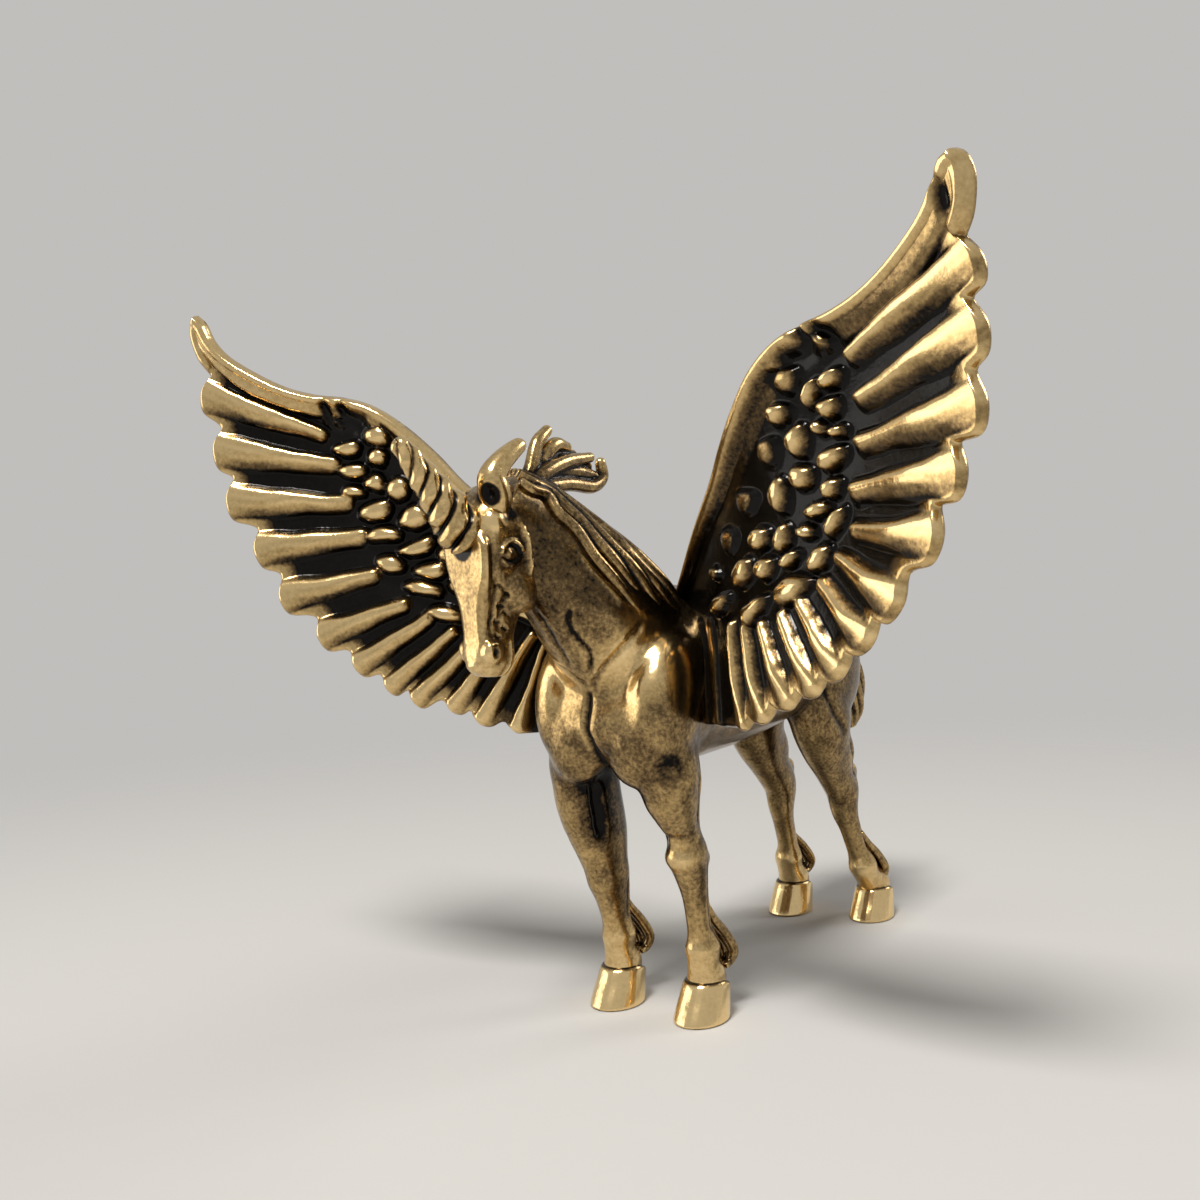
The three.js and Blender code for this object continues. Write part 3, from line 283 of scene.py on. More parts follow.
def to_line(points: np.ndarray, line: np.ndarray) -> tuple[np.ndarray, np.ndarray]:
    """Measures from points to a line of segments.

    Args:
        points: Rows of points.
        line: The line's rows.

    Returns:
        Each point's distance, and its share of the way along the line.
    """
    best = np.full(len(points), 1e9)
    share = np.zeros(len(points))
    count = len(line) - 1
    for i in range(count):
        step = line[i + 1] - line[i]
        along = np.clip((points - line[i]) @ step / max(step @ step, 1e-12), 0, 1)
        away = np.linalg.norm(points - line[i] - along[:, None] * step, axis=1)
        nearer = away < best
        best = np.where(nearer, away, best)
        share = np.where(nearer, (i + along) / count, share)
    return best, share


class Casting:
    """One cast piece, modelled in millimetres in the horse's frame and then set in the part's."""

    THINNEST = 0.02
    CREASE_STEPS = 6
    SOFTEN = 0.55
    UNDO = 1.04
    BLUR = 0.6
    NARROW_LIMITS = (-0.35, 0.9)
    WIDE_LIMITS = (-0.3, 0.8)

    def __init__(self, name: str) -> None:
        """Starts an empty piece in edit mode.

        Args:
            name: Its name.
        """
        if bpy.context.object and bpy.context.object.mode != "OBJECT":
            bpy.ops.object.mode_set(mode="OBJECT")
        bpy.ops.object.select_all(action="DESELECT")
        bpy.ops.object.add(type="MESH", location=(0, 0, 0))
        self.piece = bpy.context.object
        self.piece.name = name
        self.piece.data.name = name
        bpy.ops.object.mode_set(mode="EDIT")
        self.co = np.zeros((0, 3))

    def loft(self, rows: Sequence[Row], side: np.ndarray = ACROSS, per: int = 3, sides: int = 20,
             level: bool = False, boxy: float = 1.0) -> None:
        """Adds a closed body through elliptical rings, bridged one to the next.

        Args:
            rows: Rings as x, y, z, half width along side, half depth square to it.
            side: The direction that a ring's width takes.
            per: Rings between two rows.
            sides: Corners of a ring.
            level: Whether the rings lie level rather than square to the path.
            boxy: 1 for round rings, below it for squarer ones.
        """
        rings = spline(rows, per)
        paths = np.gradient(rings[:, :3], axis=0)
        mesh = self.piece.data
        start = len(bmesh.from_edit_mesh(mesh).verts)
        for ring, path in zip(rings, paths):
            along = np.array([0.0, 0.0, 1.0]) if level else path / np.linalg.norm(path)
            across = side - along * (side @ along)
            across /= np.linalg.norm(across)
            deep = np.cross(along, across)
            turn = Matrix(np.column_stack([across, deep, along]).tolist())
            bpy.ops.mesh.primitive_circle_add(
                vertices=sides, radius=1.0, location=ring[:3].tolist(), rotation=turn.to_euler())
            self._stretch(sides, ring, across, deep, boxy)
        for i in range(len(rings) - 1):
            self._select(start + i * sides, start + (i + 2) * sides)
            bpy.ops.mesh.bridge_edge_loops()
        for i in (0, len(rings) - 1):
            self._select(start + i * sides, start + (i + 1) * sides)
            bpy.ops.mesh.edge_face_add()

    def _stretch(self, count: int, ring: np.ndarray, across: np.ndarray, deep: np.ndarray,
                 boxy: float) -> None:
        """Stretches the newest round ring to its width and depth.

        Args:
            count: How many corners it has.
            ring: Its middle, half width and half depth.
            across: The direction of its width.
            deep: The direction of its depth.
            boxy: 1 for round, below it for squarer.
        """
        shape = bmesh.from_edit_mesh(self.piece.data)
        shape.verts.ensure_lookup_table()
        for corner in shape.verts[-count:]:
            away = np.array(corner.co) - ring[:3]
            u, v = away @ across, away @ deep
            u = math.copysign(abs(u) ** boxy, u) * max(ring[3], self.THINNEST)
            v = math.copysign(abs(v) ** boxy, v) * max(ring[4], self.THINNEST)
            corner.co = ring[:3] + u * across + v * deep
        bmesh.update_edit_mesh(self.piece.data)

    def _select(self, first: int, last: int) -> None:
        """Selects a run of vertices and nothing else.

        Args:
            first: The first vertex.
            last: The one after the last.
        """
        bpy.ops.mesh.select_all(action="DESELECT")
        shape = bmesh.from_edit_mesh(self.piece.data)
        shape.verts.ensure_lookup_table()
        for index in range(first, last):
            shape.verts[index].select = True
        shape.select_flush_mode()
        bmesh.update_edit_mesh(self.piece.data)

    def lumps(self, rows: Sequence[Row], side: int = 1) -> None:
        """Adds muscles and bones as eggs, after the piece's lofts, which count its points in order.

        Args:
            rows: Each one's middle, half sizes and tilt about X in degrees.
            side: 1 as given, -1 for the mirror image.
        """
        for x, y, z, wide, deep, high, tilt in rows:
            bpy.ops.mesh.primitive_uv_sphere_add(
                segments=24, ring_count=14, radius=1.0, location=(side * x, y, z),
                rotation=(math.radians(tilt), 0, 0), scale=(wide, deep, high))

    @staticmethod
    def face_out() -> None:
        """Turns all faces outward and leaves edit mode."""
        bpy.ops.mesh.select_all(action="SELECT")
        bpy.ops.mesh.normals_make_consistent(inside=False)
        bpy.ops.object.mode_set(mode="OBJECT")

    def fuse(self, voxel: float, ease: int) -> None:
        """Fuses what was added into one skin and eases its joins.

        Args:
            voxel: Size of the skin's faces.
            ease: Rounds of easing.
        """
        self.face_out()
        skin = self.piece.modifiers.new("Skin", "REMESH")
        skin.mode = "VOXEL"
        skin.voxel_size = voxel
        bpy.ops.object.modifier_apply(modifier=skin.name)
        self.read()
        self.ease(ease)

    def read(self) -> None:
        """Takes the mesh's points, edges and normals into arrays."""
        mesh = self.piece.data
        count = len(mesh.vertices)
        co = np.empty(count * 3, np.float32)
        mesh.vertices.foreach_get("co", co)
        self.co = co.reshape(-1, 3).astype(float)
        pairs = np.empty(len(mesh.edges) * 2, np.int32)
        mesh.edges.foreach_get("vertices", pairs)
        self.a, self.b = pairs.reshape(-1, 2).T
        self.links = np.bincount(self.a, minlength=count) + np.bincount(self.b, minlength=count)
        self.find_normals()

    def write(self) -> None:
        """Puts the points back into the mesh."""
        self.piece.data.vertices.foreach_set("co", self.co.astype(np.float32).ravel())
        self.piece.data.update()

    def find_normals(self) -> None:
        """Finds each point's normal from the mesh as it now stands."""
        self.write()
        out = np.empty(len(self.co) * 3, np.float32)
        self.piece.data.vertex_normals.foreach_get("vector", out)
        self.normal = out.reshape(-1, 3).astype(float)

    def mean(self, values: np.ndarray) -> np.ndarray:
        """Takes the mean of each point's neighbours, column by column.

        Args:
            values: A row, or a number, for each point.

        Returns:
            The means.
        """
        count = len(self.co)
        sums = []
        for column in values.reshape(count, -1).T:
            ahead = np.bincount(self.a, column[self.b], count)
            sums.append(ahead + np.bincount(self.b, column[self.a], count))
        return (np.stack(sums, 1) / np.maximum(self.links, 1)[:, None]).reshape(values.shape)

    def ease(self, rounds: int, keep: bool = True, where: np.ndarray | None = None) -> None:
        """Smooths the skin.

        Args:
            rounds: Rounds of smoothing.
            keep: Whether each round is partly undone, so that slim limbs don't shrink.
            where: How strongly each point is smoothed, 0 to 1, all of them fully by default.
        """
        amount = self.SOFTEN if where is None else self.SOFTEN * where[:, None]
        for _ in range(rounds):
            self.co += amount * (self.mean(self.co) - self.co)
            if keep:
                self.co -= self.UNDO * amount * (self.mean(self.co) - self.co)
        self.find_normals()

    def near(self, middle: Row, reach: float) -> np.ndarray:
        """How near each point is to a place, 1 at it and falling off over the reach."""
        away = ((self.co - np.asarray(middle)) ** 2).sum(1)
        return np.exp(-away / reach**2)

    def crease(self, line: Sequence[Row], width: float, depth: float, fade: float) -> None:
        """Cuts a groove along a line, or raises a ridge where depth is below 0.

        Args:
            line: Points on the skin.
            width: Half width of the groove.
            depth: How deep it is.
            fade: Share of its length over which each end dies out.
        """
        path = [self.co[np.argmin(((self.co - p) ** 2).sum(1))] for p in spline(line, self.CREASE_STEPS)]
        away, share = to_line(self.co, np.array(path))
        ends = np.minimum(smoothstep(0, fade, share), smoothstep(0, fade, 1 - share))
        self.co -= (depth * ends * np.exp(-((away / width) ** 2)))[:, None] * self.normal

    def dent(self, middle: Row, radius: float, depth: float, squash: Row = (1, 1, 1)) -> None:
        """Presses a round hollow, or raises a boss where depth is below 0.

        Args:
            middle: A point on the skin.
            radius: Half width of the hollow.
            depth: How deep it is.
            squash: How much nearer than it is each axis counts, above 1 for a narrower hollow.
        """
        away = np.linalg.norm((self.co - np.asarray(middle)) * np.asarray(squash), axis=1)
        self.co -= (depth * np.exp(-((away / radius) ** 2)))[:, None] * self.normal

    def hollows(self, rounds: int) -> np.ndarray:
        """How far each point lies below its smoothed surroundings.

        Args:
            rounds: How wide the surroundings are.

        Returns:
            Depths in millimetres, below 0 on ridges.
        """
        soft = self.co.copy()
        for _ in range(rounds):
            soft += self.BLUR * (self.mean(soft) - soft)
        return ((soft - self.co) * self.normal).sum(1)

    def tone(self, base: np.ndarray | float, fine: float, broad: float,
             rounds: tuple[int, int] = (6, 40)) -> np.ndarray:
        """Patina that gathers in the narrow hollows and is rubbed off the ridges, with painted shade in the
        wide hollows.

        Args:
            base: The plain skin's patina, 0 bare to 1 black.
            fine: How strongly narrow hollows darken.
            broad: How strongly wide hollows darken, as painted shade.
            rounds: How wide the narrow and the wide surroundings are.

        Returns:
            The patina of each point.
        """
        self.find_normals()
        narrow = np.clip(self.hollows(rounds[0]) * fine, *self.NARROW_LIMITS)
        # Darkening in the wide hollows is painted shade; in the narrow ones it is patina
        wide = np.clip(self.hollows(rounds[1]) * broad, *self.WIDE_LIMITS)
        return np.clip(base + narrow + wide, 0, 1)

    def keep(self, name: str, values: np.ndarray) -> None:
        """Stores a number at each point, which rides along when points are merged."""
        store = self.piece.data.attributes.new(name, "FLOAT", "POINT")
        store.data.foreach_set("value", np.asarray(values, np.float32))

    def kept(self, name: str) -> np.ndarray:
        """Takes back and removes the numbers stored under a name.

        Args:
            name: The name.

        Returns:
            The numbers.
        """
        store = self.piece.data.attributes[name]
        values = np.empty(len(self.piece.data.vertices), np.float32)
        store.data.foreach_get("value", values)
        self.piece.data.attributes.remove(store)
        return values.astype(float)

    def twin(self, name: str, move: Row) -> "Casting":
        """Copies the piece, with a mesh of its own, to another place.

        Args:
            name: The copy's name.
            move: How far it is moved.

        Returns:
            The copy.
        """
        self.write()
        bpy.ops.object.select_all(action="DESELECT")
        self.piece.select_set(True)
        bpy.context.view_layer.objects.active = self.piece
        bpy.ops.object.duplicate()
        made = copy.copy(self)
        made.piece = bpy.context.object
        made.piece.name = name
        made.piece.data.name = name
        made.co = self.co + np.asarray(move)
        return made

    def settle(self, patina: np.ndarray, finish: bpy.types.Material, slot: Slot, nodes: Sequence[str],
               shift: Vector) -> None:
        """Sets the piece in the part's frame, dresses it and hangs it on its body.

        Args:
            patina: The patina of each point.
            finish: Its material.
            slot: Its material slot, not used.
            nodes: The castings it stands for.
            shift: From the horse's frame to the part's, in millimetres.
        """
        self.write()
        self.keep("patina", patina)
        mesh = self.piece.data
        mesh.transform(Matrix.Scale(MM, 4) @ Matrix.Translation(shift))
        mesh.materials.clear()
        mesh.materials.append(finish)
        mesh.polygons.foreach_set("use_smooth", np.ones(len(mesh.polygons), bool))
        mesh.update()
        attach(self.piece, "root")
        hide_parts(*nodes)
        triangles = sum(len(p.vertices) - 2 for p in mesh.polygons)
        LOG.info("%s: %d triangles, stands for %s", self.piece.name, triangles, ", ".join(nodes))


@dataclass(frozen=True)
class Groove:
    """A groove in the skin, or a ridge where its depth is below 0, given for the horse's left side."""

    points: Rows
    width: float
    depth: float
    fade: float = 0.25

    def cut(self, cast: Casting, side: int = 1) -> None:
        """Cuts it into a piece.

        Args:
            cast: The piece.
            side: 1 as given, -1 for its mirror image.
        """
        cast.crease([(side * x, y, z) for x, y, z in self.points], self.width, self.depth, self.fade)


@dataclass
class Yard:
    """What every piece is finished with: the place in the part's frame and the finishes."""

    shift: Vector
    polished: bpy.types.Material
    patina: bpy.types.Material
    dark: bpy.types.Material
    wing: bpy.types.Material


@dataclass
class Body:
    """Trunk, neck and legs, dressed to one skin."""

    voxel: float = 0.166
    # Rings of the trunk as y, top, bottom and width, of the neck as for a loft
    trunk: Rows = (
        (-17.2, 22.4, 19.0, 3.7), (-16.5, 23.8, 17.2, 7.6), (-14.8, 25.2, 15.8, 10.5),
        (-11.7, 26.7, 15.5, 10.8), (-9.0, 27.2, 15.5, 10.6), (-4.0, 25.6, 15.7, 10.2),
        (1.0, 25.0, 16.2, 9.8), (4.5, 25.4, 16.8, 9.0), (8.0, 25.8, 17.0, 8.3),
        (11.0, 24.8, 17.7, 6.3), (13.4, 22.8, 19.2, 4.1), (14.0, 21.4, 20.6, 2.2))
    neck: Rows = (
        (0.0, -11.8, 22.2, 4.3, 5.2), (-0.5, -15.7, 25.8, 3.8, 4.16), (-1.3, -18.1, 28.5, 3.0, 3.5),
        (-2.3, -20.0, 30.9, 2.1, 2.8), (-3.0, -21.9, 32.4, 1.8, 2.2))
    # Rings of the forelegs as height, width, depth and share of the lean
    fore_left: Rows = (
        (18.0, 3.0, 4.4, 0.98), (15.2, 3.7, 4.4, 1.0), (13.4, 2.85, 3.3, 0.8), (11.9, 2.1, 2.5, 0.58),
        (10.6, 2.5, 2.9, 0.45), (9.4, 2.1, 2.4, 0.34), (7.8, 1.6, 1.95, 0.2), (5.5, 1.6, 1.85, 0.08))
    fore_right: Rows = (
        (18.0, 3.0, 4.4, 0.98), (15.2, 3.8, 5.0, 0.98), (13.4, 3.7, 5.0, 0.84), (11.3, 3.2, 4.5, 0.56),
        (9.4, 2.55, 3.6, 0.38), (8.4, 2.5, 3.4, 0.3), (7.2, 2.05, 2.8, 0.18), (5.6, 1.75, 2.3, 0.08))
    # Rings of the hind legs as height, width, depth, y and share of the hock's inset
    hind: Rows = (
        (19.2, 2.94, 5.88, 7.6, 1.0), (16.7, 4.1, 6.3, 7.3, 0.8), (14.6, 3.53, 4.87, 7.9, 0.8),
        (12.75, 2.77, 3.53, 9.05, 0.9), (10.7, 2.43, 3.13, 10.7, 1.0), (9.1, 2.05, 2.48, 10.85, 0.9),
        (7.6, 1.65, 1.88, 11.45, 0.6), (5.5, 1.65, 1.88, 12.35, 0.3))
    lean: float = 3.0
    hind_hoof: float = 13.8
    stagger: float = 0.65
    hock_in: float = 0.55
    # Muscles and joints of the left side as rows for lumps
    shoulder: Rows = (
        (2.2, -15.75, 18.7, 2.35, 1.85, 3.6, -6), (3.5, -14.6, 20.4, 2.05, 2.9, 4.3, -14),
        (3.9, -11.9, 21.6, 1.6, 2.6, 4.4, -20), (3.3, -14.5, 16.0, 1.95, 2.0, 2.8, 6))
    left_arm: Rows = (
        (HALF_TRACK + 0.1, -14.0, 14.4, 1.5, 1.6, 2.3, 10), (HALF_TRACK, -12.75, 10.5, 1.28, 1.3, 1.05, 0),
        (HALF_TRACK + 0.2, -11.4, 10.2, 0.7, 0.7, 0.8, 0))
    right_arm: Rows = (
        (HALF_TRACK + 0.1, -13.7, 13.2, 1.75, 2.1, 3.0, 10), (HALF_TRACK, -12.3, 8.8, 1.24, 1.55, 1.15, 0),
        (HALF_TRACK + 0.2, -10.9, 8.7, 0.7, 0.6, 0.8, 0))
    fetlocks: Rows = (
        (HALF_TRACK, FORE_HOOF_Y, 4.4, 1.16, 1.28, 0.95, 0),
        (HALF_TRACK, HIND_FETLOCK_Y, 4.4, 1.13, 1.28, 0.95, 0))
    haunch: Rows = (
        (2.5, 8.2, 20.4, 2.4, 4.6, 5.0, 18), (2.7, 6.7, 17.2, 2.0, 2.7, 3.4, 24),
        (2.0, 11.4, 19.4, 1.7, 2.2, 3.8, -12), (2.75, 8.8, 14.2, 1.65, 1.9, 3.0, 34),
        (2.68, 11.85, 11.7, 0.72, 0.7, 1.0, -24), (2.7, 10.7, 10.6, 1.22, 1.35, 1.4, 0))
    withers_and_breast: Rows = (
        (0, -8.4, 25.0, 2.0, 5.0, 1.9, -13), (0, -15.9, 21.3, 2.4, 1.5, 2.6, 0))
    # Where muscles run into each other, as a place and a reach
    smooth: Rows = (
        (3.4, -14.6, 20.5, 5.0), (2.9, -15.2, 16.2, 2.6), (3, 8, 18, 6.0), (0.8, -5.5, 25.8, 3.4),
        (2.2, 7.5, 23.6, 4.0), (2.6, 4.4, 23.2, 3.4), (HALF_TRACK, FORE_HOOF_Y, 5.3, 1.2),
        (HALF_TRACK, 12.5, 5.3, 1.2))
    breast_line: Groove = Groove(
        ((-0.2, -17.5, 21.2), (-0.2, -17.2, 19.7), (-0.1, -16.9, 17.8), (0, -16, 15.8)), 0.18, 0.34, 0.1)
    # Where the neck goes into the chest
    neck_root: Groove = Groove(
        ((0.0, -17.5, 21.3), (1.1, -17.9, 22.3), (2.5, -17.5, 23.8), (3.3, -16.3, 25.2)), 0.18, 0.18, 0.12)
    throat: tuple[Groove, ...] = (
        Groove(((0.9, -19.7, 29.6), (2.0, -18.7, 27.8), (2.9, -17.2, 25.9)), 0.2, -0.16, 0.2),
        Groove(((0.8, -20.1, 26.4), (0.4, -19.9, 25.3), (0.6, -19.3, 24.3), (0.9, -18.6, 23.4),
                (0.3, -17.8, 21.8)), 0.17, 0.26, 0.15),
        Groove(((-1.5, -21.0, 26.7), (-1.1, -20.2, 25.3), (-0.8, -19.2, 23.7), (-0.6, -18.3, 22.4)),
               0.17, 0.16))
    # Forearm, knee and tendons in front, then thigh, gaskin and tendon behind
    legs: tuple[Groove, ...] = (
        Groove(((1.8, -15.4, 15.7), (1.75, -15.1, 14.2), (1.85, -14.6, 12.4), (2.1, -14, 10.8)),
               0.34, 0.5, 0.35),
        Groove(((4.9, -13.6, 16.5), (4.75, -13.2, 14.5), (4.3, -12.7, 12.3)), 0.2, 0.26),
        Groove(((HALF_TRACK - 1.2, -13.4, 11.9), (HALF_TRACK, -14.2, 12.1), (HALF_TRACK + 1.2, -13.3, 11.9)),
               0.22, 0.1),
        *(Groove(((x, -11.35, 8.6), (x, -11.1, 6.9), (x, -10.95, 5.4)), 0.18, 0.2)
          for x in (HALF_TRACK + 0.85, HALF_TRACK - 0.85)),
        Groove(((4.3, 4.8, 19.6), (4.2, 6.0, 17.2), (4.1, 7.6, 15.2)), 0.35, 0.22),
        Groove(((4.2, 8.6, 15.2), (3.9, 10.0, 12.8), (3.7, 11.0, 11.4)), 0.22, 0.24),
        Groove(((HALF_TRACK + 0.5, 11.6, 9.4), (HALF_TRACK + 0.7, 12.3, 7.2), (HALF_TRACK + 0.8, 12.9, 5.4)),
               0.18, 0.2))
    # Rubbed places, with painted highlights on the shoulder and chest and a painted dark reflection below the
    # shoulder, as a place, a reach and how much brighter they are
    rubbed: Rows = (
        (3.1, -16.8, 22.9, 2.5, 0.56), (2.3, -17.6, 20.3, 1.7, 0.26), (4.3, -15.4, 13.6, 1.5, 0.12),
        (3.4, -13.8, 10.7, 1.0, 0.3), (2.7, 12.4, 11.9, 0.9, 0.4), (4.2, -17.1, 20.1, 0.8, -0.2))
    flaw: Row = (4.6, -16.1, 16.3)
    flaw_squash: Row = (1, 1, 0.75)

    def fore_leg(self, hand: Hand) -> list[Row]:
        """A foreleg's rings from the elbow to the coronet.

        Args:
            hand: Which side it is on.

        Returns:
            Rows for a loft.
        """
        x = hand.value * HALF_TRACK
        rings = self.fore_left if hand is Hand.LEFT else self.fore_right
        rows = [(x, FORE_HOOF_Y - lean * self.lean, z, wide / 2, deep / 2) for z, wide, deep, lean in rings]
        return rows + self.foot(x, FORE_HOOF_Y, FORE_HOOF_Y)

    def hind_leg(self, hand: Hand) -> list[Row]:
        """A hind leg's rings from the thigh to the coronet.

        Args:
            hand: Which side it is on.

        Returns:
            Rows for a loft.
        """
        rows = [(hand.value * (HALF_TRACK - inset * self.hock_in), y, z, wide / 2, deep / 2)
                for z, wide, deep, y, inset in self.hind]
        hoof = self.hind_hoof + hand.value * self.stagger
        return rows + self.foot(hand.value * HALF_TRACK, HIND_FETLOCK_Y, hoof)

    @staticmethod
    def foot(x: float, fetlock: float, hoof: float) -> list[Row]:
        """Fetlock, pastern and coronet.

        Args:
            x: The foot's place across the horse.
            fetlock: The fetlock's place along it.
            hoof: The hoof's place along it.

        Returns:
            Rows for a loft.
        """
        return [(x, fetlock, FETLOCK_HEIGHT, 1.06, 1.19), (x, (fetlock + hoof) / 2, 3.4, 1.0, 1.08),
                (x, hoof + 0.3, 2.5, 1.22, 1.41), (x, hoof + 0.3, 1.15, 1.09, 1.23)]

    def make(self, yard: Yard) -> None:
        """Builds and dresses the piece.

        Args:
            yard: What it is finished with.
        """
        cast = Casting("body_casting")
        cast.loft([(0, y, (top + low) / 2, wide / 2, (top - low) / 2) for y, top, low, wide in self.trunk],
                  sides=32)
        cast.loft(self.neck, sides=28, per=5)
        for hand in Hand:
            cast.loft(self.fore_leg(hand))
            cast.loft(self.hind_leg(hand))
        for hand in Hand:
            arm = self.left_arm if hand is Hand.LEFT else self.right_arm
            cast.lumps(self.shoulder + arm + self.fetlocks + self.haunch, hand.value)
        cast.lumps(self.withers_and_breast)
        cast.fuse(self.voxel, ease=4)
        cast.ease(4, keep=False)
        blend = np.zeros(len(cast.co))
        for hand in Hand:
            for x, y, z, reach in self.smooth:
                blend = np.maximum(blend, cast.near((hand.value * x, y, z), reach))
        cast.ease(26, keep=False, where=blend)
        self.carve(cast)
        patina = cast.tone(self.skin(cast), 3.4, 0.75)
        nodes = ("trunk", "neck", "foreleg_left", "foreleg_right", "hindleg_left", "hindleg_right")
        cast.settle(patina, yard.patina, Slot.PATINA, nodes, yard.shift)

    def carve(self, cast: Casting) -> None:
        """Cuts the lines of the body.

        Args:
            cast: The piece to carve.
        """
        self.breast_line.cut(cast)
        for hand in Hand:
            self.neck_root.cut(cast, hand.value)
        cast.find_normals()
        cast.dent(self.flaw, 0.85, 0.15, self.flaw_squash)
        for groove in self.throat:
            groove.cut(cast)
        for hand in Hand:
            for groove in self.legs:
                groove.cut(cast, hand.value)
        cast.find_normals()
        cast.ease(1, keep=False)

    def skin(self, cast: Casting) -> np.ndarray:
        """The patina of the plain skin, before its hollows, with painted highlights on the shoulder and chest
        and painted shade on the backs of the legs and inside the forearms.

        Args:
            cast: The piece.

        Returns:
            The patina of each point.
        """
        x, y, z = cast.co.T
        neck = smoothstep(-0.3, 0.4, z - 21.4 - 1.15 * np.abs(x)) * smoothstep(-12.0, -14.5, y)
        base = 0.65 + 0.08 * neck - 0.34 * smoothstep(7.4, 3.2, z)
        # Rubbed places brighten the knees and hocks; on the shoulder and chest they are painted highlights,
        # and the one below 0 is a painted dark reflection
        for *place, reach, amount in self.rubbed:
            for hand in Hand:
                base -= amount * cast.near((hand.value * place[0], *place[1:]), reach)
        # Painted light on the legs: lighter where they face forward, and darker where they face back, which
        # is painted shade
        behind = cast.normal[:, 1]
        worn = 0.24 * smoothstep(0.0, 0.7, behind) - 0.06 * smoothstep(-0.3, -0.9, behind)
        base += worn * smoothstep(16.5, 13.5, z)
        # A flaw in the casting on the left arm
        flaw = np.linalg.norm((cast.co - self.flaw) * self.flaw_squash, axis=1) + 0.12 * np.sin(5 * x + 7 * z)
        base += 0.14 * np.exp(-(((flaw - 0.62) / 0.24) ** 2))
        # Painted shade in the slot inside each forearm
        slot = np.abs(np.abs(x) - 1.75) + 0.5 * np.abs(y + 14.9)
        shown = smoothstep(10.4, 12.4, z) * smoothstep(16.2, 15.4, z)
        return base + 0.5 * np.exp(-((slot / 1.05) ** 2)) * shown


class Relief:
    """Height and patina over the spots of a plate, where the highest form shows."""

    GROUND = 0.97

    def __init__(self, spots: np.ndarray) -> None:
        """Starts with flat, black ground.

        Args:
            spots: Rows of out and height.
        """
        self.spots = spots
        self.high = np.zeros(len(spots))
        self.patina = np.full(len(spots), self.GROUND)

    def add(self, high: np.ndarray, tone: np.ndarray | float) -> None:
        """Adds a form where it stands above what is there.

        Args:
            high: Its height at each spot.
            tone: Its patina.
        """
        self.patina = np.where(high > self.high, tone, self.patina)
        self.high = np.maximum(self.high, high)


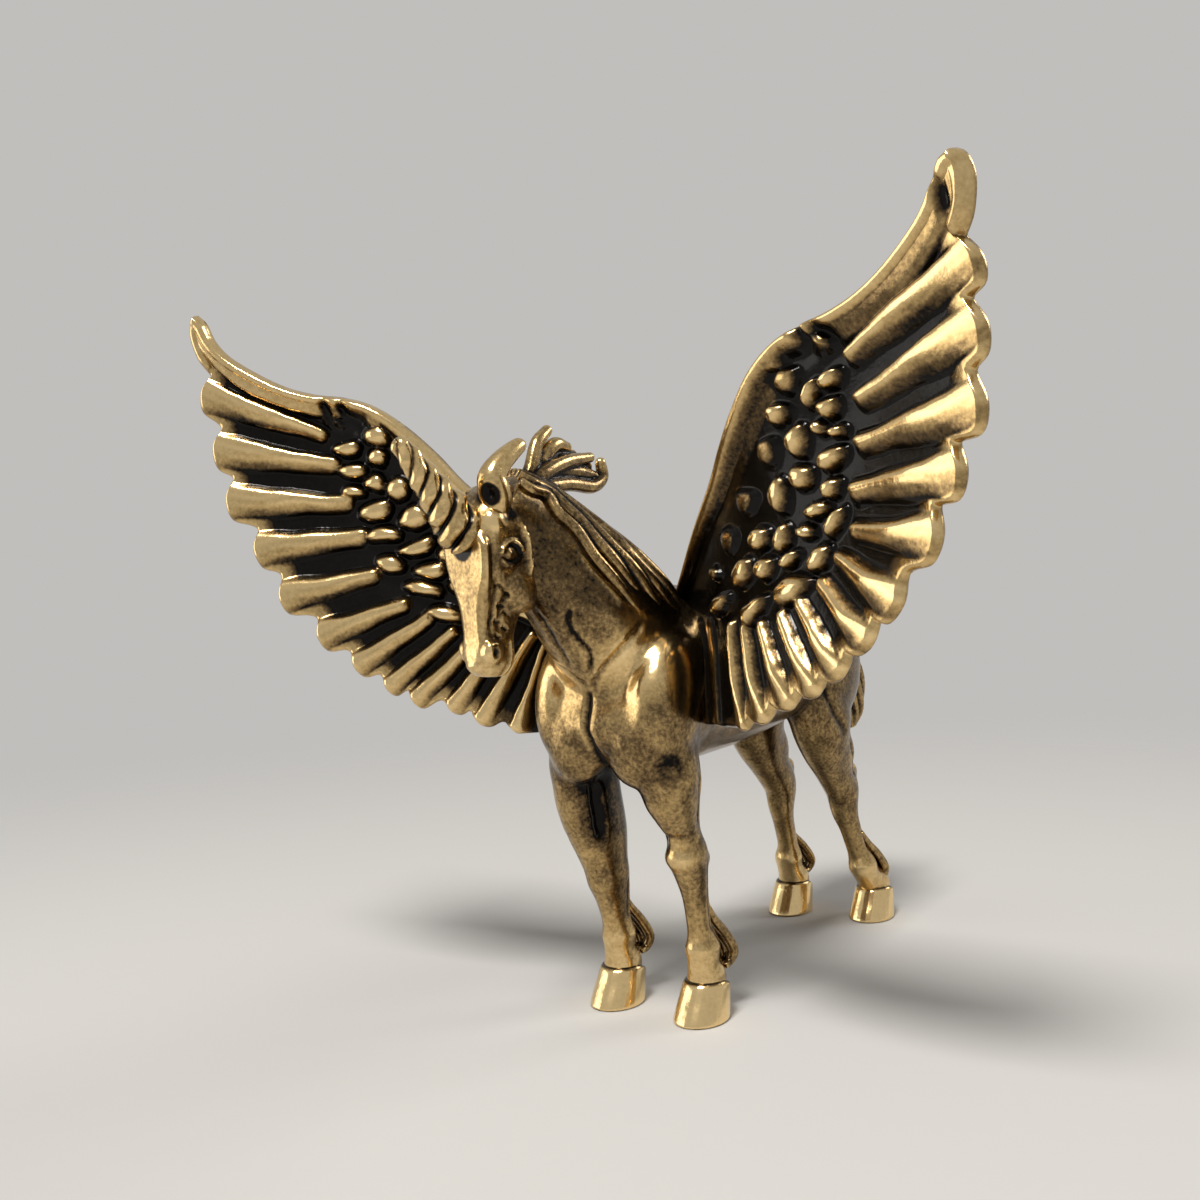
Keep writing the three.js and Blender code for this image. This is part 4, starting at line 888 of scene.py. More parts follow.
@dataclass
class Wing:
    """A wing: a cast plate with a rolled leading edge, bead-like coverts and a fan of flight feathers.

    Places on the plate are given as distance out from the root and height above the ground. A feather is
    its root, its tip and its half widths there. A bead is its middle, length, width, turn in degrees and
    wear. A strip is its two ends and half width.
    """

    hand: Hand
    leading: Rows
    inner_foot: Row
    feathers: Rows
    beads: Rows
    lobes: tuple[Rows, ...]
    hooks: tuple[Rows, ...]
    strips: Rows = ()
    root: tuple[float, float] = (2.0, -9.7)
    sweep: float = math.radians(31.3)
    plate: float = 0.55
    edge_round: float = 0.42
    feather_rise: float = 0.72
    bead_rise: float = 0.86
    bead_size: float = 1.06
    strip_rise: float = 0.34
    first_rise: float = 0.46
    end_rise: float = 0.5
    lobe_rise: float = 0.56
    rim_rise: float = 0.76
    lip_rise: float = 0.14
    flank_tone: float = 0.2
    tip_wear: float = 0.5
    # How much the black ground in the grooves beside the feathers is lightened, as a painted sheen
    groove_sheen: float = 0.05
    tip_fall: float = 0.45
    notch: float = 0.42
    corner: Row = (0.85, 0.3)
    bar_steadiness: float = 0.62
    back_relief: float = 0.3
    back_tone: Row = (0.4, 0.32)
    tip_hollow: float = 0.0
    tip_hollow_at: Row = (27.45, 44.25)
    first_tone: Row = (0.45, 0.3, 0.22, 0.2, 0.16, 0.12, 0.08)
    columns: int = 420
    rows: int = 150
    tip_edge: Rows = (
        (27.75, 42.45), (28.35, 43.3), (28.75, 44.8), (28.5, 45.8), (28.1, 46.1))
    first_feather: Rows = (
        (18.4, 39.5), (20.2, 39.95), (22, 40.5), (24, 41.45), (26, 42.85), (27.4, 44.3), (28.15, 45.6))
    end_feather: Rows = ((28.0, 45.8), (28.42, 45.0), (28.35, 43.9), (27.85, 42.9))
    # How far the plate bulges ahead of its plane at some places
    bulge: Rows = (
        (20.6, 41.0, 1.0), (17.3, 40.4, 1.8), (14.2, 38.6, 2.1), (10.7, 34.9, 1.7), (5.4, 30.3, 1.1),
        (0.4, 26.4, 0.3), (20.0, 38.2, 0.1), (19.2, 35.0, -0.5), (18.2, 31.6, -0.6), (16.6, 28.6, -0.2),
        (13.8, 26.2, 0.6), (9.4, 24.8, 0.9), (3.2, 24.2, 0.4), (28.1, 45.6, 0.0), (28.6, 41.8, -0.7),
        (27.3, 34.7, -1.05), (24.2, 28.3, -0.6), (19.7, 23.8, 0.15), (15.3, 20.8, 0.8), (10.5, 18.8, 1.3),
        (5.4, 17.9, 1.1))
    # Width and height of the rolled edge at shares of the way along it, the height for a rise of rim_unit
    rim_unit: float = 0.7
    rim_width: tuple[Row, Row] = (
        (0, 0.12, 0.3, 0.45, 0.56, 0.7, 0.9, 1), (0.5, 0.85, 1.1, 1.3, 0.95, 0.8, 0.85, 0.95))
    rim_height: tuple[Row, Row] = ((0, 0.4, 0.55, 0.75, 1), (0.6, 0.72, 0.62, 0.6, 0.62))

    def outline(self) -> tuple[np.ndarray, np.ndarray]:
        """Draws the plate's two long edges, from the root to the tip.

        Returns:
            The leading edge and the scalloped edge of feather tips, as rows of out and height.
        """
        tips = [self.inner_foot]
        for k, (ra, rz, ta, tz, _, wide) in enumerate(reversed(self.feathers)):
            along = np.array([ta - ra, tz - rz])
            along /= np.linalg.norm(along)
            up = np.array([-along[1], along[0]])
            tip = np.array([ta, tz])
            out, back = self.corner
            low = tip - out * wide * up - back * wide * along
            high = tip + out * wide * up - back * wide * along
            if k:
                tips.append((high_before + low) / 2 - self.notch * along)
            tips += [low, tip, high]
            high_before = high
        tips += self.tip_edge
        even = np.linspace(0, 1, self.columns + 1)
        edges = []
        for rows, per in ((self.leading, 12), (tips, 8)):
            line = spline(rows, per)
            run = np.concatenate([[0], np.cumsum(np.linalg.norm(np.diff(line, axis=0), axis=1))])
            edges.append(read_line(line, even * run[-1], run))
        return edges[0], edges[1]

    def ahead(self, spots: np.ndarray) -> np.ndarray:
        """How far the plate bulges ahead of the wing's plane, as a thin sheet bent through the guide points.

        Args:
            spots: Rows of out and height.

        Returns:
            The bulge at each.
        """
        guide, height = np.array(self.bulge)[:, :2], np.array(self.bulge)[:, 2]
        count = len(guide)
        flat = np.column_stack([np.ones(count), guide])
        system = np.zeros((count + 3, count + 3))
        system[:count, :count] = self._bend(guide, guide) + 0.5 * np.eye(count)
        system[:count, count:] = flat
        system[count:, :count] = flat.T
        weights = np.linalg.solve(system, np.concatenate([height, np.zeros(3)]))
        level = np.column_stack([np.ones(len(spots)), spots]) @ weights[count:]
        return self._bend(spots, guide) @ weights[:count] + level

    @staticmethod
    def _bend(a: np.ndarray, b: np.ndarray) -> np.ndarray:
        """How a thin sheet bends at each of a when it is pushed at each of b."""
        square = ((a[:, None] - b[None]) ** 2).sum(2)
        return 0.5 * square * np.log(square + 1e-9)

    @staticmethod
    def uneven(spots: np.ndarray) -> np.ndarray:
        """Moves places to and fro a little, as relief cut by hand is never quite regular.

        Args:
            spots: Rows of out and height.

        Returns:
            The places whose relief they get.
        """
        out, up = spots.T
        sway = 0.09 * np.sin(1.9 * up + 0.8 * out) + 0.035 * np.sin(4.3 * out - 3.1 * up)
        bob = 0.09 * np.sin(1.6 * out - 1.1 * up) + 0.035 * np.sin(4.9 * up + 2.7 * out)
        return spots + np.column_stack([sway, bob])

    def relief(self, spots: np.ndarray, rim_away: np.ndarray, rim_share: np.ndarray,
               tip_away: np.ndarray) -> tuple[np.ndarray, np.ndarray]:
        """Models the front of the plate.

        Args:
            spots: Rows of out and height.
            rim_away: Each spot's distance from the leading edge.
            rim_share: Its share of the way along that edge.
            tip_away: Its distance from the edge of feather tips.

        Returns:
            The relief's height at each spot, and the patina there.
        """
        rough = self.uneven(spots)
        spots = self.bar_steadiness * spots + (1 - self.bar_steadiness) * rough
        relief = Relief(spots)
        for feather in self.feathers:
            self._feather(relief, feather)
        # The grooves run out before the edge, which is left as a narrow lip
        lip = smoothstep(1.5, 0.3, tip_away) * smoothstep(6.0, 12.0, spots[:, 0])
        relief.add(self.lip_rise * lip, relief.GROUND - 0.75 * lip)
        for a, z, low_a, low_z, half in self.strips:
            away, _ = to_line(spots, np.array([(a, z), (low_a, low_z)]))
            high = self.strip_rise * np.sqrt(np.clip(1 - (away / half) ** 2, 0, 1))
            relief.add(high, 0.5 + 0.4 * smoothstep(0.2, 1.0, away / half))
        for line, half, rise, tone in self.bands():
            away, share = to_line(spots, line)
            q = away / np.interp(share, np.linspace(0, 1, len(half)), half)
            high = rise * np.sqrt(np.clip(1 - np.clip(q, 0, 1) ** 3, 0, 1))
            tone = np.interp(share, np.linspace(0, 1, len(tone)), tone)
            relief.add(high, tone + 0.5 * smoothstep(0.75, 1.0, q))
        for bead in self.beads:
            self._bead(relief, rough, bead)
        self._rim(relief, rim_away, rim_share)
        for hook in self.hooks:
            away, share = to_line(spots, spline(hook, 6))
            cut = np.exp(-((away / (0.3 + 0.16 * share)) ** 2))
            relief.high -= cut * np.minimum(relief.high + 0.12, 0.6)
            relief.patina = np.clip(relief.patina + cut, 0, 1)
        # A hollow marks the tip
        a, z = (spots - self.tip_hollow_at).T
        tip = self.tip_hollow * np.exp(-((a / 0.32) ** 2 + (z / 0.75) ** 2) ** 1.5)
        return relief.high - 0.34 * tip, np.clip(relief.patina + 0.75 * tip, 0, 1)

    def _feather(self, relief: Relief, row: Row) -> None:
        """Adds a flight feather.

        Args:
            relief: What it is added to.
            row: The feather.
        """
        ra, rz, ta, tz, thin, wide = row
        start = np.array([ra, rz])
        step = np.array([ta, tz]) - start
        length = np.linalg.norm(step)
        along = step / length
        run = (relief.spots - start) @ along
        side = (relief.spots - start) @ np.array([-along[1], along[0]])
        share = np.clip(run / length, 0, 1.2)
        half = thin + (wide - thin) * share**1.5
        before = np.minimum(run, 0)
        # A vane stands highest along a crest near its upper edge and slopes down to its lower one
        crest = side - half * (0.12 + 0.2 * share)
        steep = np.clip(crest, 0, None) / (half * (0.78 - 0.2 * share))
        gentle = np.clip(-crest, 0, None) / (half * (1.22 + 0.2 * share))
        q = np.sqrt((steep + gentle) ** 2 + (before / thin) ** 2)
        above, below = np.clip(1 - q**2.6, 0, 1) ** 0.55, np.clip(1 - q**1.5, 0, 1) ** 0.75
        rise = self.feather_rise * (0.86 + 0.22 * share) * (1 - self.tip_fall * smoothstep(0.42, 1.04, share))
        tone = 0.08 + self.flank_tone * smoothstep(0.04, 0.4, gentle) + 0.7 * smoothstep(0.5, 1.0, steep)
        tone += (0.84 - self.flank_tone) * smoothstep(0.35, 0.95, gentle)
        tone += 0.07 * np.sin(11 * side + 2 * np.sin(0.9 * run + ta))
        tone *= 1 - self.tip_wear * smoothstep(0.7, 1.0, share)
        tone += 0.5 * np.clip(-before / thin, 0, 1)
        # Painted sheen: the black ground is lightened a little in the groove beside each feather
        groove = smoothstep(0.3, 2.0, run) * smoothstep(2.4, 1.2, np.abs(side))
        worn = np.minimum(relief.patina, relief.GROUND - self.groove_sheen * groove)
        relief.patina = np.where(relief.high > 0, relief.patina, worn)
        relief.add(rise * np.where(crest > 0, above, below), np.clip(tone, 0, 1))

    def _bead(self, relief: Relief, spots: np.ndarray, row: Row) -> None:
        """Adds a bead-like covert.

        Args:
            relief: What it is added to.
            spots: The places whose relief the spots get.
            row: The bead.
        """
        a, z, long, wide, turn, wear = row
        angle = math.radians(turn)
        along = np.array([math.cos(angle), math.sin(angle)])
        x = (spots - (a, z)) @ along / (self.bead_size * long / 2)
        y = (spots - (a, z)) @ np.array([-along[1], along[0]]) / (self.bead_size * wide / 2)
        q = np.sqrt(x * x + (y * (1.0 + 0.24 * x)) ** 2)
        high = self.bead_rise * (1 - 0.45 * wear) * np.sqrt(np.clip(1 - np.clip(q, 0, 1) ** 2.2, 0, 1))
        relief.add(high, np.clip(0.05 + 0.5 * wear + 0.85 * smoothstep(0.45, 0.98, q), 0, 1))

    def _rim(self, relief: Relief, away: np.ndarray, share: np.ndarray) -> None:
        """Adds the rolled leading edge, and the plain slope from it to the coverts at the wrist.

        Args:
            relief: What it is added to.
            away: Each spot's distance from the edge.
            share: Its share of the way along it.
        """
        width = np.interp(share, *self.rim_width)
        q = np.abs(away / width * 2 - 1)
        round_top = np.sqrt(np.clip(1 - np.clip(q, 0, 1) ** 2.4, 0, 1))
        shade = 0.75 - 0.5 * smoothstep(0.52, 0.66, share)
        tone = np.clip(0.1 + shade * smoothstep(0.55, 1.0, away / width), 0, 1)
        rise = np.interp(share, *self.rim_height) * self.rim_rise / self.rim_unit
        relief.add(rise * round_top, tone)
        slope = smoothstep(0.28, 0.4, share) * smoothstep(0.53, 0.46, share)
        relief.add(0.42 * slope * np.clip(1 - away / 2.0, 0, 1), 0.78)

    def bands(self) -> list[tuple[np.ndarray, Row, float, Row]]:
        """The first flight feather along the leading edge, and the lobes at the wrist.

        Returns:
            Each one's line, half widths along it, height and patina.
        """
        made = [(spline(self.first_feather, 6), (0.75, 0.9, 0.98, 1.0, 0.95, 0.85, 0.6), self.first_rise,
                 self.first_tone),
                (spline(self.end_feather, 6), (0.4, 0.5, 0.55, 0.55), self.end_rise, (0.1, 0.14, 0.2, 0.25))]
        for lobe in self.lobes:
            line = spline([row[:2] for row in lobe], 6)
            made.append((line, [row[2] for row in lobe], self.lobe_rise, (0.42, 0.3, 0.42)))
        return made

    def make(self, yard: Yard) -> None:
        """Builds and dresses the piece.

        Args:
            yard: What it is finished with.
        """
        cast = Casting(f"wing_{self.hand.side}_casting")
        lead, tips = self.outline()
        sheets = []
        for columns, rows in ((self.columns, self.rows), (self.columns // 2, self.rows // 2)):
            before = len(bmesh.from_edit_mesh(cast.piece.data).verts)
            bpy.ops.mesh.primitive_grid_add(x_subdivisions=columns, y_subdivisions=rows, size=2.0)
            shape = bmesh.from_edit_mesh(cast.piece.data)
            shape.verts.ensure_lookup_table()
            sheets.append((before, len(shape.verts)))
        bpy.ops.object.mode_set(mode="OBJECT")
        cast.read()
        patina = np.empty(len(cast.co))
        for front, (first, last) in zip((True, False), sheets):
            s = (cast.co[first:last, 0] + 1) / 2
            t = (cast.co[first:last, 1] + 1) / 2
            a = read_line(lead, s * self.columns)
            b = read_line(tips, s * self.columns)
            spots = a + (b - a) * t[:, None]
            reach = np.linalg.norm(b - a, axis=1)
            rim_away, rim_share = to_line(spots, lead[::6])
            tip_away, _ = to_line(spots, tips[::3])
            # The plate is rounded off toward all four of its edges
            edge = np.minimum.reduce([rim_away, (1 - t) * reach, 40 * (1 - s) + 0.05, 40 * s + 0.05])
            round_off = np.sqrt(np.clip(1 - (1 - np.clip(edge / self.edge_round, 0, 1)) ** 2, 0.012, 1))
            high, tone = self.relief(spots, rim_away, rim_share, tip_away)
            if front:
                lift = (self.plate / 2 + high) * round_off
            else:
                back = self.back_relief * np.clip(high, 0, 0.6) * smoothstep(0.0, 3.0, tip_away)
                lift = -(self.plate / 2 + back) * round_off
                tone = np.clip(self.back_tone[0] + self.back_tone[1] * tone, 0, 1)
            patina[first:last] = tone
            cast.co[first:last] = self.place(spots, self.ahead(spots) + lift)
        cast.write()
        self.close(cast)
        cast.read()
        cast.ease(2, keep=False)
        for _ in range(2):
            patina = 0.5 * patina + 0.5 * cast.mean(patina)
        cast.settle(patina, yard.wing, Slot.POLISHED, (f"wing_{self.hand.side}",), yard.shift)

    def place(self, spots: np.ndarray, lift: np.ndarray) -> np.ndarray:
        """Sets places of the plate in the horse's frame.

        Args:
            spots: Rows of out and height.
            lift: How far ahead of the wing's plane.

        Returns:
            Rows of x, y and z.
        """
        out = np.array([math.cos(self.sweep), -math.sin(self.sweep), 0])
        front = np.array([-math.sin(self.sweep), -math.cos(self.sweep), 0])
        made = np.array([*self.root, 0]) + spots[:, :1] * out + lift[:, None] * front
        made[:, 2] += spots[:, 1]
        made[:, 0] *= self.hand.value
        return made

    @staticmethod
    def close(cast: Casting) -> None:
        """Joins the two sheets round their edges.

        Args:
            cast: The piece.
        """
        bpy.ops.object.mode_set(mode="EDIT")
        bpy.ops.mesh.select_mode(type="EDGE")
        bpy.ops.mesh.select_all(action="DESELECT")
        shape = bmesh.from_edit_mesh(cast.piece.data)
        for edge in shape.edges:
            if edge.is_boundary:
                edge.select = True
        bmesh.update_edit_mesh(cast.piece.data)
        bpy.ops.mesh.bridge_edge_loops()
        bpy.ops.mesh.select_mode(type="VERT")
        cast.face_out()


def left_wing() -> Wing:
    """Gives the left wing its own feathers and coverts.

    Returns:
        The wing.
    """
    return Wing(
        hand=Hand.LEFT,
        leading=((0.4, 26.4), (4, 29.6), (8, 33.0), (10, 35.1), (12, 37.1), (14, 38.7), (16, 39.8),
                 (18, 40.4), (20, 40.75), (22, 41.35), (24, 42.35), (26, 43.8), (27, 45.05),
                 (27.55, 45.85), (28.1, 46.1)),
        inner_foot=(4.2, 18.7),
        tip_hollow=1.0,
        tip_fall=0.74,
        flank_tone=0.42,
        tip_wear=0.2,
        first_tone=(0.7, 0.68, 0.64, 0.58, 0.48, 0.36, 0.2),
        strips=((5.3, 24.65, 6.6, 18.9, 0.62), (3.4, 24.6, 5.0, 19.0, 0.6)),
        hooks=(((17.83, 40.0), (18.07, 39.34), (17.61, 38.83), (16.5, 38.72)),
               ((18.84, 39.95), (19.6, 39.38), (19.5, 38.7), (18.72, 38.53))),
        feathers=((20.4, 38.4, 28.5, 41.5, 0.58, 1.3), (20.3, 36.3, 28.4, 38.6, 0.62, 1.45),
                  (19.8, 34.2, 28.1, 35.2, 0.65, 1.5), (19.2, 31.9, 26.7, 32.3, 0.72, 1.45),
                  (19.2, 29.9, 25.2, 29.4, 0.6, 1.5), (18.0, 28.5, 22.6, 26.2, 0.6, 1.45),
                  (16.8, 27.2, 20.5, 24.2, 0.55, 1.2), (15.2, 26.2, 18.4, 22.5, 0.5, 1.05),
                  (13.8, 25.5, 16.4, 21.4, 0.5, 0.98), (12.0, 24.9, 14.2, 20.5, 0.5, 1.0),
                  (10.2, 24.8, 11.8, 19.5, 0.5, 1.0), (8.6, 24.8, 9.7, 18.9, 0.46, 0.85)),
        beads=((16.2, 37.8, 1.6, 1.4, 60, 0.5), (18.7, 37.6, 1.6, 0.8, 30, 0),
               (17.4, 36.9, 1.7, 0.6, 60, 0.1), (15.0, 36.2, 1.5, 1.2, 20, 0),
               (18.3, 36.2, 1.35, 1.05, 30, 0), (17.3, 35.3, 0.95, 0.75, 80, 0.1),
               (18.4, 34.9, 1.1, 0.75, 10, 0), (15.8, 34.7, 1.7, 1.2, 65, 0),
               (13.6, 34.4, 1.9, 1.5, 40, 0.8), (17.8, 33.6, 1.8, 1.25, 15, 0),
               (15.6, 32.9, 1.7, 1.3, 20, 0), (17.5, 32.1, 1.65, 0.9, 25, 0),
               (13.9, 32.0, 1.9, 1.3, 85, 0.1), (11.1, 31.9, 2.2, 1.3, 20, 1),
               (16.4, 31.0, 1.65, 0.9, 10, 0), (17.7, 30.5, 1.9, 0.9, 55, 0),
               (12.0, 29.7, 1.6, 1.25, 30, 0), (13.8, 29.8, 1.7, 1.1, 70, 0),
               (15.6, 29.9, 1.35, 0.9, -5, 0), (8.9, 29.8, 2.0, 1.3, 20, 1),
               (10.2, 27.9, 2.3, 1.4, 35, 0), (12.4, 28.2, 1.8, 1.2, 25, 0),
               (14.4, 28.5, 1.4, 0.85, 35, 0), (16.5, 28.7, 2.0, 1.1, 40, 0),
               (7.0, 27.8, 1.2, 0.8, 0, 0.6), (14.6, 27.0, 3.3, 1.3, 20, 0),
               (11.3, 25.9, 2.8, 1.2, 30, 0), (7.3, 26.2, 2.8, 1.0, 20, 0.1)),
        lobes=(((15.2, 38.7, 0.4), (16.4, 38.95, 0.5), (17.35, 39.1, 0.46)),
               ((18.95, 39.7, 0.34), (18.95, 39.2, 0.4), (18.7, 38.7, 0.36))),
    )


def right_wing() -> Wing:
    """Gives the right wing its own feathers and coverts.

    Returns:
        The wing.
    """
    return Wing(
        hand=Hand.RIGHT,
        leading=((0.4, 26.4), (4, 29.3), (8, 32.3), (10.3, 34.2), (12, 36.15), (14, 38.05), (16, 39.4),
                 (18, 40.1), (20, 40.45), (22, 41.05), (24, 42.05), (26, 43.35), (27, 44.5),
                 (27.45, 45.6), (28.05, 46.2)),
        inner_foot=(4.6, 17.9),
        bead_size=1.24,
        hooks=(((19.51, 39.7), (19.29, 38.81), (18.75, 38.13), (17.86, 37.91)),
               ((18.34, 39.41), (17.88, 38.85), (17.03, 38.47))),
        feathers=((20.0, 37.9, 28.4, 41.1, 0.55, 1.35), (19.5, 35.9, 27.9, 37.4, 0.66, 1.5),
                  (18.8, 33.35, 27.2, 33.9, 0.68, 1.5), (17.9, 31.1, 25.4, 30.5, 0.72, 1.45),
                  (17.1, 28.5, 23.7, 27.2, 0.66, 1.4), (15.0, 26.5, 21.1, 24.5, 0.6, 1.3),
                  (13.4, 25.5, 18.6, 22.4, 0.55, 1.1), (11.7, 24.6, 16.4, 20.9, 0.5, 0.9),
                  (10.2, 24.0, 14.6, 20.0, 0.5, 0.9), (8.4, 24.0, 12.1, 19.4, 0.5, 0.85),
                  (6.5, 24.2, 10.2, 18.5, 0.46, 0.85), (5.6, 23.7, 7.8, 17.85, 0.42, 0.75)),
        beads=((16.1, 37.4, 1.6, 1.2, -10, 0), (18.3, 36.9, 1.8, 0.85, 0, 0),
               (16.1, 36.1, 1.4, 1.0, 10, 0), (18.1, 35.4, 2.0, 0.95, 0, 0),
               (16.5, 34.6, 1.3, 1.0, 0, 0), (18.1, 34.0, 1.5, 0.75, 0, 0),
               (15.0, 34.0, 1.6, 1.3, 0, 0), (16.7, 32.7, 2.3, 1.3, -12, 0),
               (14.0, 32.1, 1.9, 1.3, -10, 0), (16.2, 31.1, 2.2, 0.95, -5, 0),
               (13.9, 30.2, 2.5, 0.95, -12, 0), (15.8, 29.2, 2.1, 0.95, 20, 0),
               (13.1, 28.7, 2.0, 1.05, -5, 0), (13.6, 27.5, 2.6, 0.9, 8, 0),
               (12.2, 25.8, 2.2, 1.0, 5, 0), (13.4, 35.6, 1.6, 1.2, 20, 0.7),
               (12.0, 33.8, 1.8, 1.3, 10, 0.8), (11.6, 31.4, 2.0, 1.3, 0, 0.2),
               (11.4, 29.6, 1.9, 1.2, 0, 0), (9.4, 31.0, 1.9, 1.2, 20, 0.9),
               (10.6, 27.6, 2.2, 1.2, 10, 0), (8.6, 28.8, 1.9, 1.1, 20, 0.4),
               (9.4, 26.0, 2.3, 1.1, 10, 0), (6.4, 25.6, 2.2, 1.0, 12, 0),
               (6.6, 27.4, 1.3, 0.8, 10, 0.5)),
        lobes=(((15.9, 38.4, 0.45), (17.0, 38.85, 0.52), (17.9, 39.15, 0.48)),
               ((19.5, 39.5, 0.34), (19.3, 38.75, 0.4), (18.5, 38.15, 0.34))),
    )


@dataclass
class Head:
    """The head, modelled upright in its own frame: x to its left, y behind its face, z above its top."""

    top: Row = (-3.0, -21.9, 32.4)
    turn: float = math.radians(-13)
    tuck: float = math.radians(-3)
    voxel: float = 0.075
    rings: Rows = (
        (-0.1, 1.0, -1.0, 2.0), (0.6, 1.75, -1.7, 3.1), (1.8, 2.35, -2.3, 3.85), (3.0, 2.6, -2.4, 4.15),
        (4.2, 2.5, -2.3, 4.1), (5.4, 2.3, -2.1, 3.7), (6.6, 2.05, -1.65, 2.95), (7.8, 1.9, -1.15, 2.4),
        (8.8, 1.8, -0.9, 2.25), (9.7, 1.85, -0.95, 2.45), (10.4, 1.65, -0.75, 2.3), (10.95, 1.2, -0.2, 1.6))
    # Lips in the middle, and cheek, brow and nostril of the left side, as rows for lumps
    lips: Rows = ((0, -1.35, -10.2, 0.85, 0.5, 0.6, 0), (0, 0.3, -10.1, 0.75, 0.6, 0.6, 0))
    cheek: Rows = (
        (1.2, 0.95, -5.3, 0.95, 1.85, 2.0, 0), (1.3, -1.2, -2.15, 0.85, 0.85, 0.95, 0),
        (0.95, -1.0, -9.5, 0.55, 0.7, 0.78, 0))
    brow: Row = (1.6, -1.5, -2.0)
    nostril: Row = (1.45, -1.05, -9.52)
    ear_root: Rows = ((1.15, -0.65, -1.4), (1.45, -1.0, -0.6))
    bone: Rows = ((1.9, 0.4, -2.3), (2.0, 0.75, -3.2), (2.0, 0.9, -4.1), (2.0, 1.0, -5.3))
    # The two lids and the ridge of bone, then folds and wrinkles down the side of the face
    face: tuple[Groove, ...] = (
        Groove(((1.9, -1.15, -4.05), (2.0, -0.85, -3.5), (2.0, -0.35, -3.2), (2.0, 0.2, -3.4),
                (2.0, 0.5, -3.9)), 0.14, -0.22, 0.12),
        Groove(((1.9, -1.1, -4.2), (2.0, -0.6, -4.5), (2.0, -0.1, -4.45), (2.0, 0.35, -4.1)),
               0.1, -0.1, 0.15),
        Groove(bone, 0.2, -0.3, 0.2),
        Groove(((1.85, -1.35, -4.9), (1.7, -1.2, -6.2), (1.35, -1.2, -7.4), (1.25, -1.3, -8.3)), 0.13, 0.13),
        Groove(((1.8, -0.45, -5.4), (1.6, -0.55, -6.6), (1.4, -0.7, -7.8), (1.3, -0.5, -8.6)), 0.17, 0.1),
        *(Groove(((1.45, y - 0.28, z + 0.1), (1.5, y, z), (1.45, y + 0.28, z - 0.16)), 0.1, 0.13)
          for y, z in ((-0.9, -5.7), (-0.3, -6.2), (-0.75, -6.9), (-0.3, -7.3), (-0.85, -7.8), (-0.2, -8.2),
                       (-0.7, -8.6))))
    mouth: Groove = Groove(
        ((1.3, 0.35, -8.8), (1.3, 0.3, -9.6), (1.0, 0.0, -10.4), (0, -0.4, -11.0)), 0.12, 0.26, 0.1)
    # Painted shade behind and under the eye and a painted highlight on the bone, as points, half width and
    # darkness
    eye_shade_and_highlight: tuple[tuple[Rows, float, float], ...] = (
        (((2.0, -0.55, -3.4), (2.0, -0.1, -3.42), (2.0, 0.22, -3.7), (2.0, 0.26, -4.1), (2.0, -0.1, -4.4)),
         0.13, 0.6),
        (((1.9, -0.95, -4.15), (2.0, -0.5, -4.4), (2.0, -0.1, -4.4)), 0.1, 0.35),
        (bone, 0.18, -0.3))

    @property
    def frame(self) -> np.ndarray:
        """The turn from the head's frame to the horse's."""
        return np.array(Matrix.Rotation(self.turn, 3, "Z") @ Matrix.Rotation(self.tuck, 3, "X"))

    def world(self, points: np.ndarray) -> np.ndarray:
        """Sets points of the head's frame in the horse's.

        Args:
            points: Rows of x, y and z.

        Returns:
            The same points in the horse's frame.
        """
        frame = self.frame
        return np.asarray(points, float) @ frame.T + np.array(self.top) + frame @ np.array([0, 0, 1.0])

    def make(self, yard: Yard) -> None:
        """Builds and dresses the piece.

        Args:
            yard: What it is finished with.
        """
        cast = Casting("head_casting")
        cast.loft([(0, -(front + back) / 2, -below, wide / 2, (front - back) / 2)
                   for below, front, back, wide in self.rings], sides=36, level=True, boxy=0.7)
        cast.lumps(self.lips)
        for hand in Hand:
            cast.lumps(self.cheek, hand.value)
        cast.fuse(self.voxel, ease=3)
        cast.ease(6, keep=False)
        brows = np.maximum(*[cast.near((hand.value * 1.5, -1.2, -2.1), 1.4) for hand in Hand])
        cast.ease(24, keep=False, where=brows)
        self.plane(cast)
        self.carve(cast)
        patina = self.skin(cast)
        cast.co = self.world(cast.co)
        cast.settle(patina, yard.patina, Slot.PATINA, ("head",), yard.shift)

    @staticmethod
    def plane(cast: Casting) -> None:
        """Flattens the front of the face, which leaves a crisp edge down each side of it.

        Args:
            cast: The piece.
        """
        below = -cast.co[:, 2]
        ahead = -cast.co[:, 1]
        flat = np.interp(below, (2.8, 5.4, 9.2), (2.45, 2.12, 1.68))
        amount = 0.85 * smoothstep(2.6, 3.6, below) * smoothstep(9.4, 8.6, below)
        cast.co[:, 1] = -np.where(ahead > flat, ahead - (ahead - flat) * amount, ahead)
        spread = np.interp(below, (2.6, 3.4, 5.4, 7.2, 9.0, 10.0), (0, 0.42, 0.38, 0.2, 0.2, 0))
        cast.co[:, 0] *= 1 + spread * smoothstep(flat - 0.7, flat - 0.05, ahead)
        cast.find_normals()

    def carve(self, cast: Casting) -> None:
        """Models eyes, nostrils, mouth and the lines of the face.

        Args:
            cast: The piece to carve.
        """
        for hand in Hand:
            s = hand.value
            # The eye in its socket
            cast.dent((s * 2.05, -0.38, -3.85), 0.62, 0.26, (0.8, 1.0, 0.85))
            cast.find_normals()
            cast.dent((s * 1.85, -0.5, -3.9), 0.4, -0.34, (0.8, 0.95, 1.0))
            cast.find_normals()
            for groove in self.face:
                groove.cut(cast, s)
            cast.find_normals()
            self.mouth.cut(cast, s)
            # The nostril in its raised rim
            cast.dent((s * 1.35, -1.05, -9.5), 0.45, -0.16, (1, 1, 0.8))
            cast.find_normals()
            cast.dent((s * self.nostril[0], *self.nostril[1:]), 0.26, 0.5, (1, 1.1, 0.85))
            cast.find_normals()

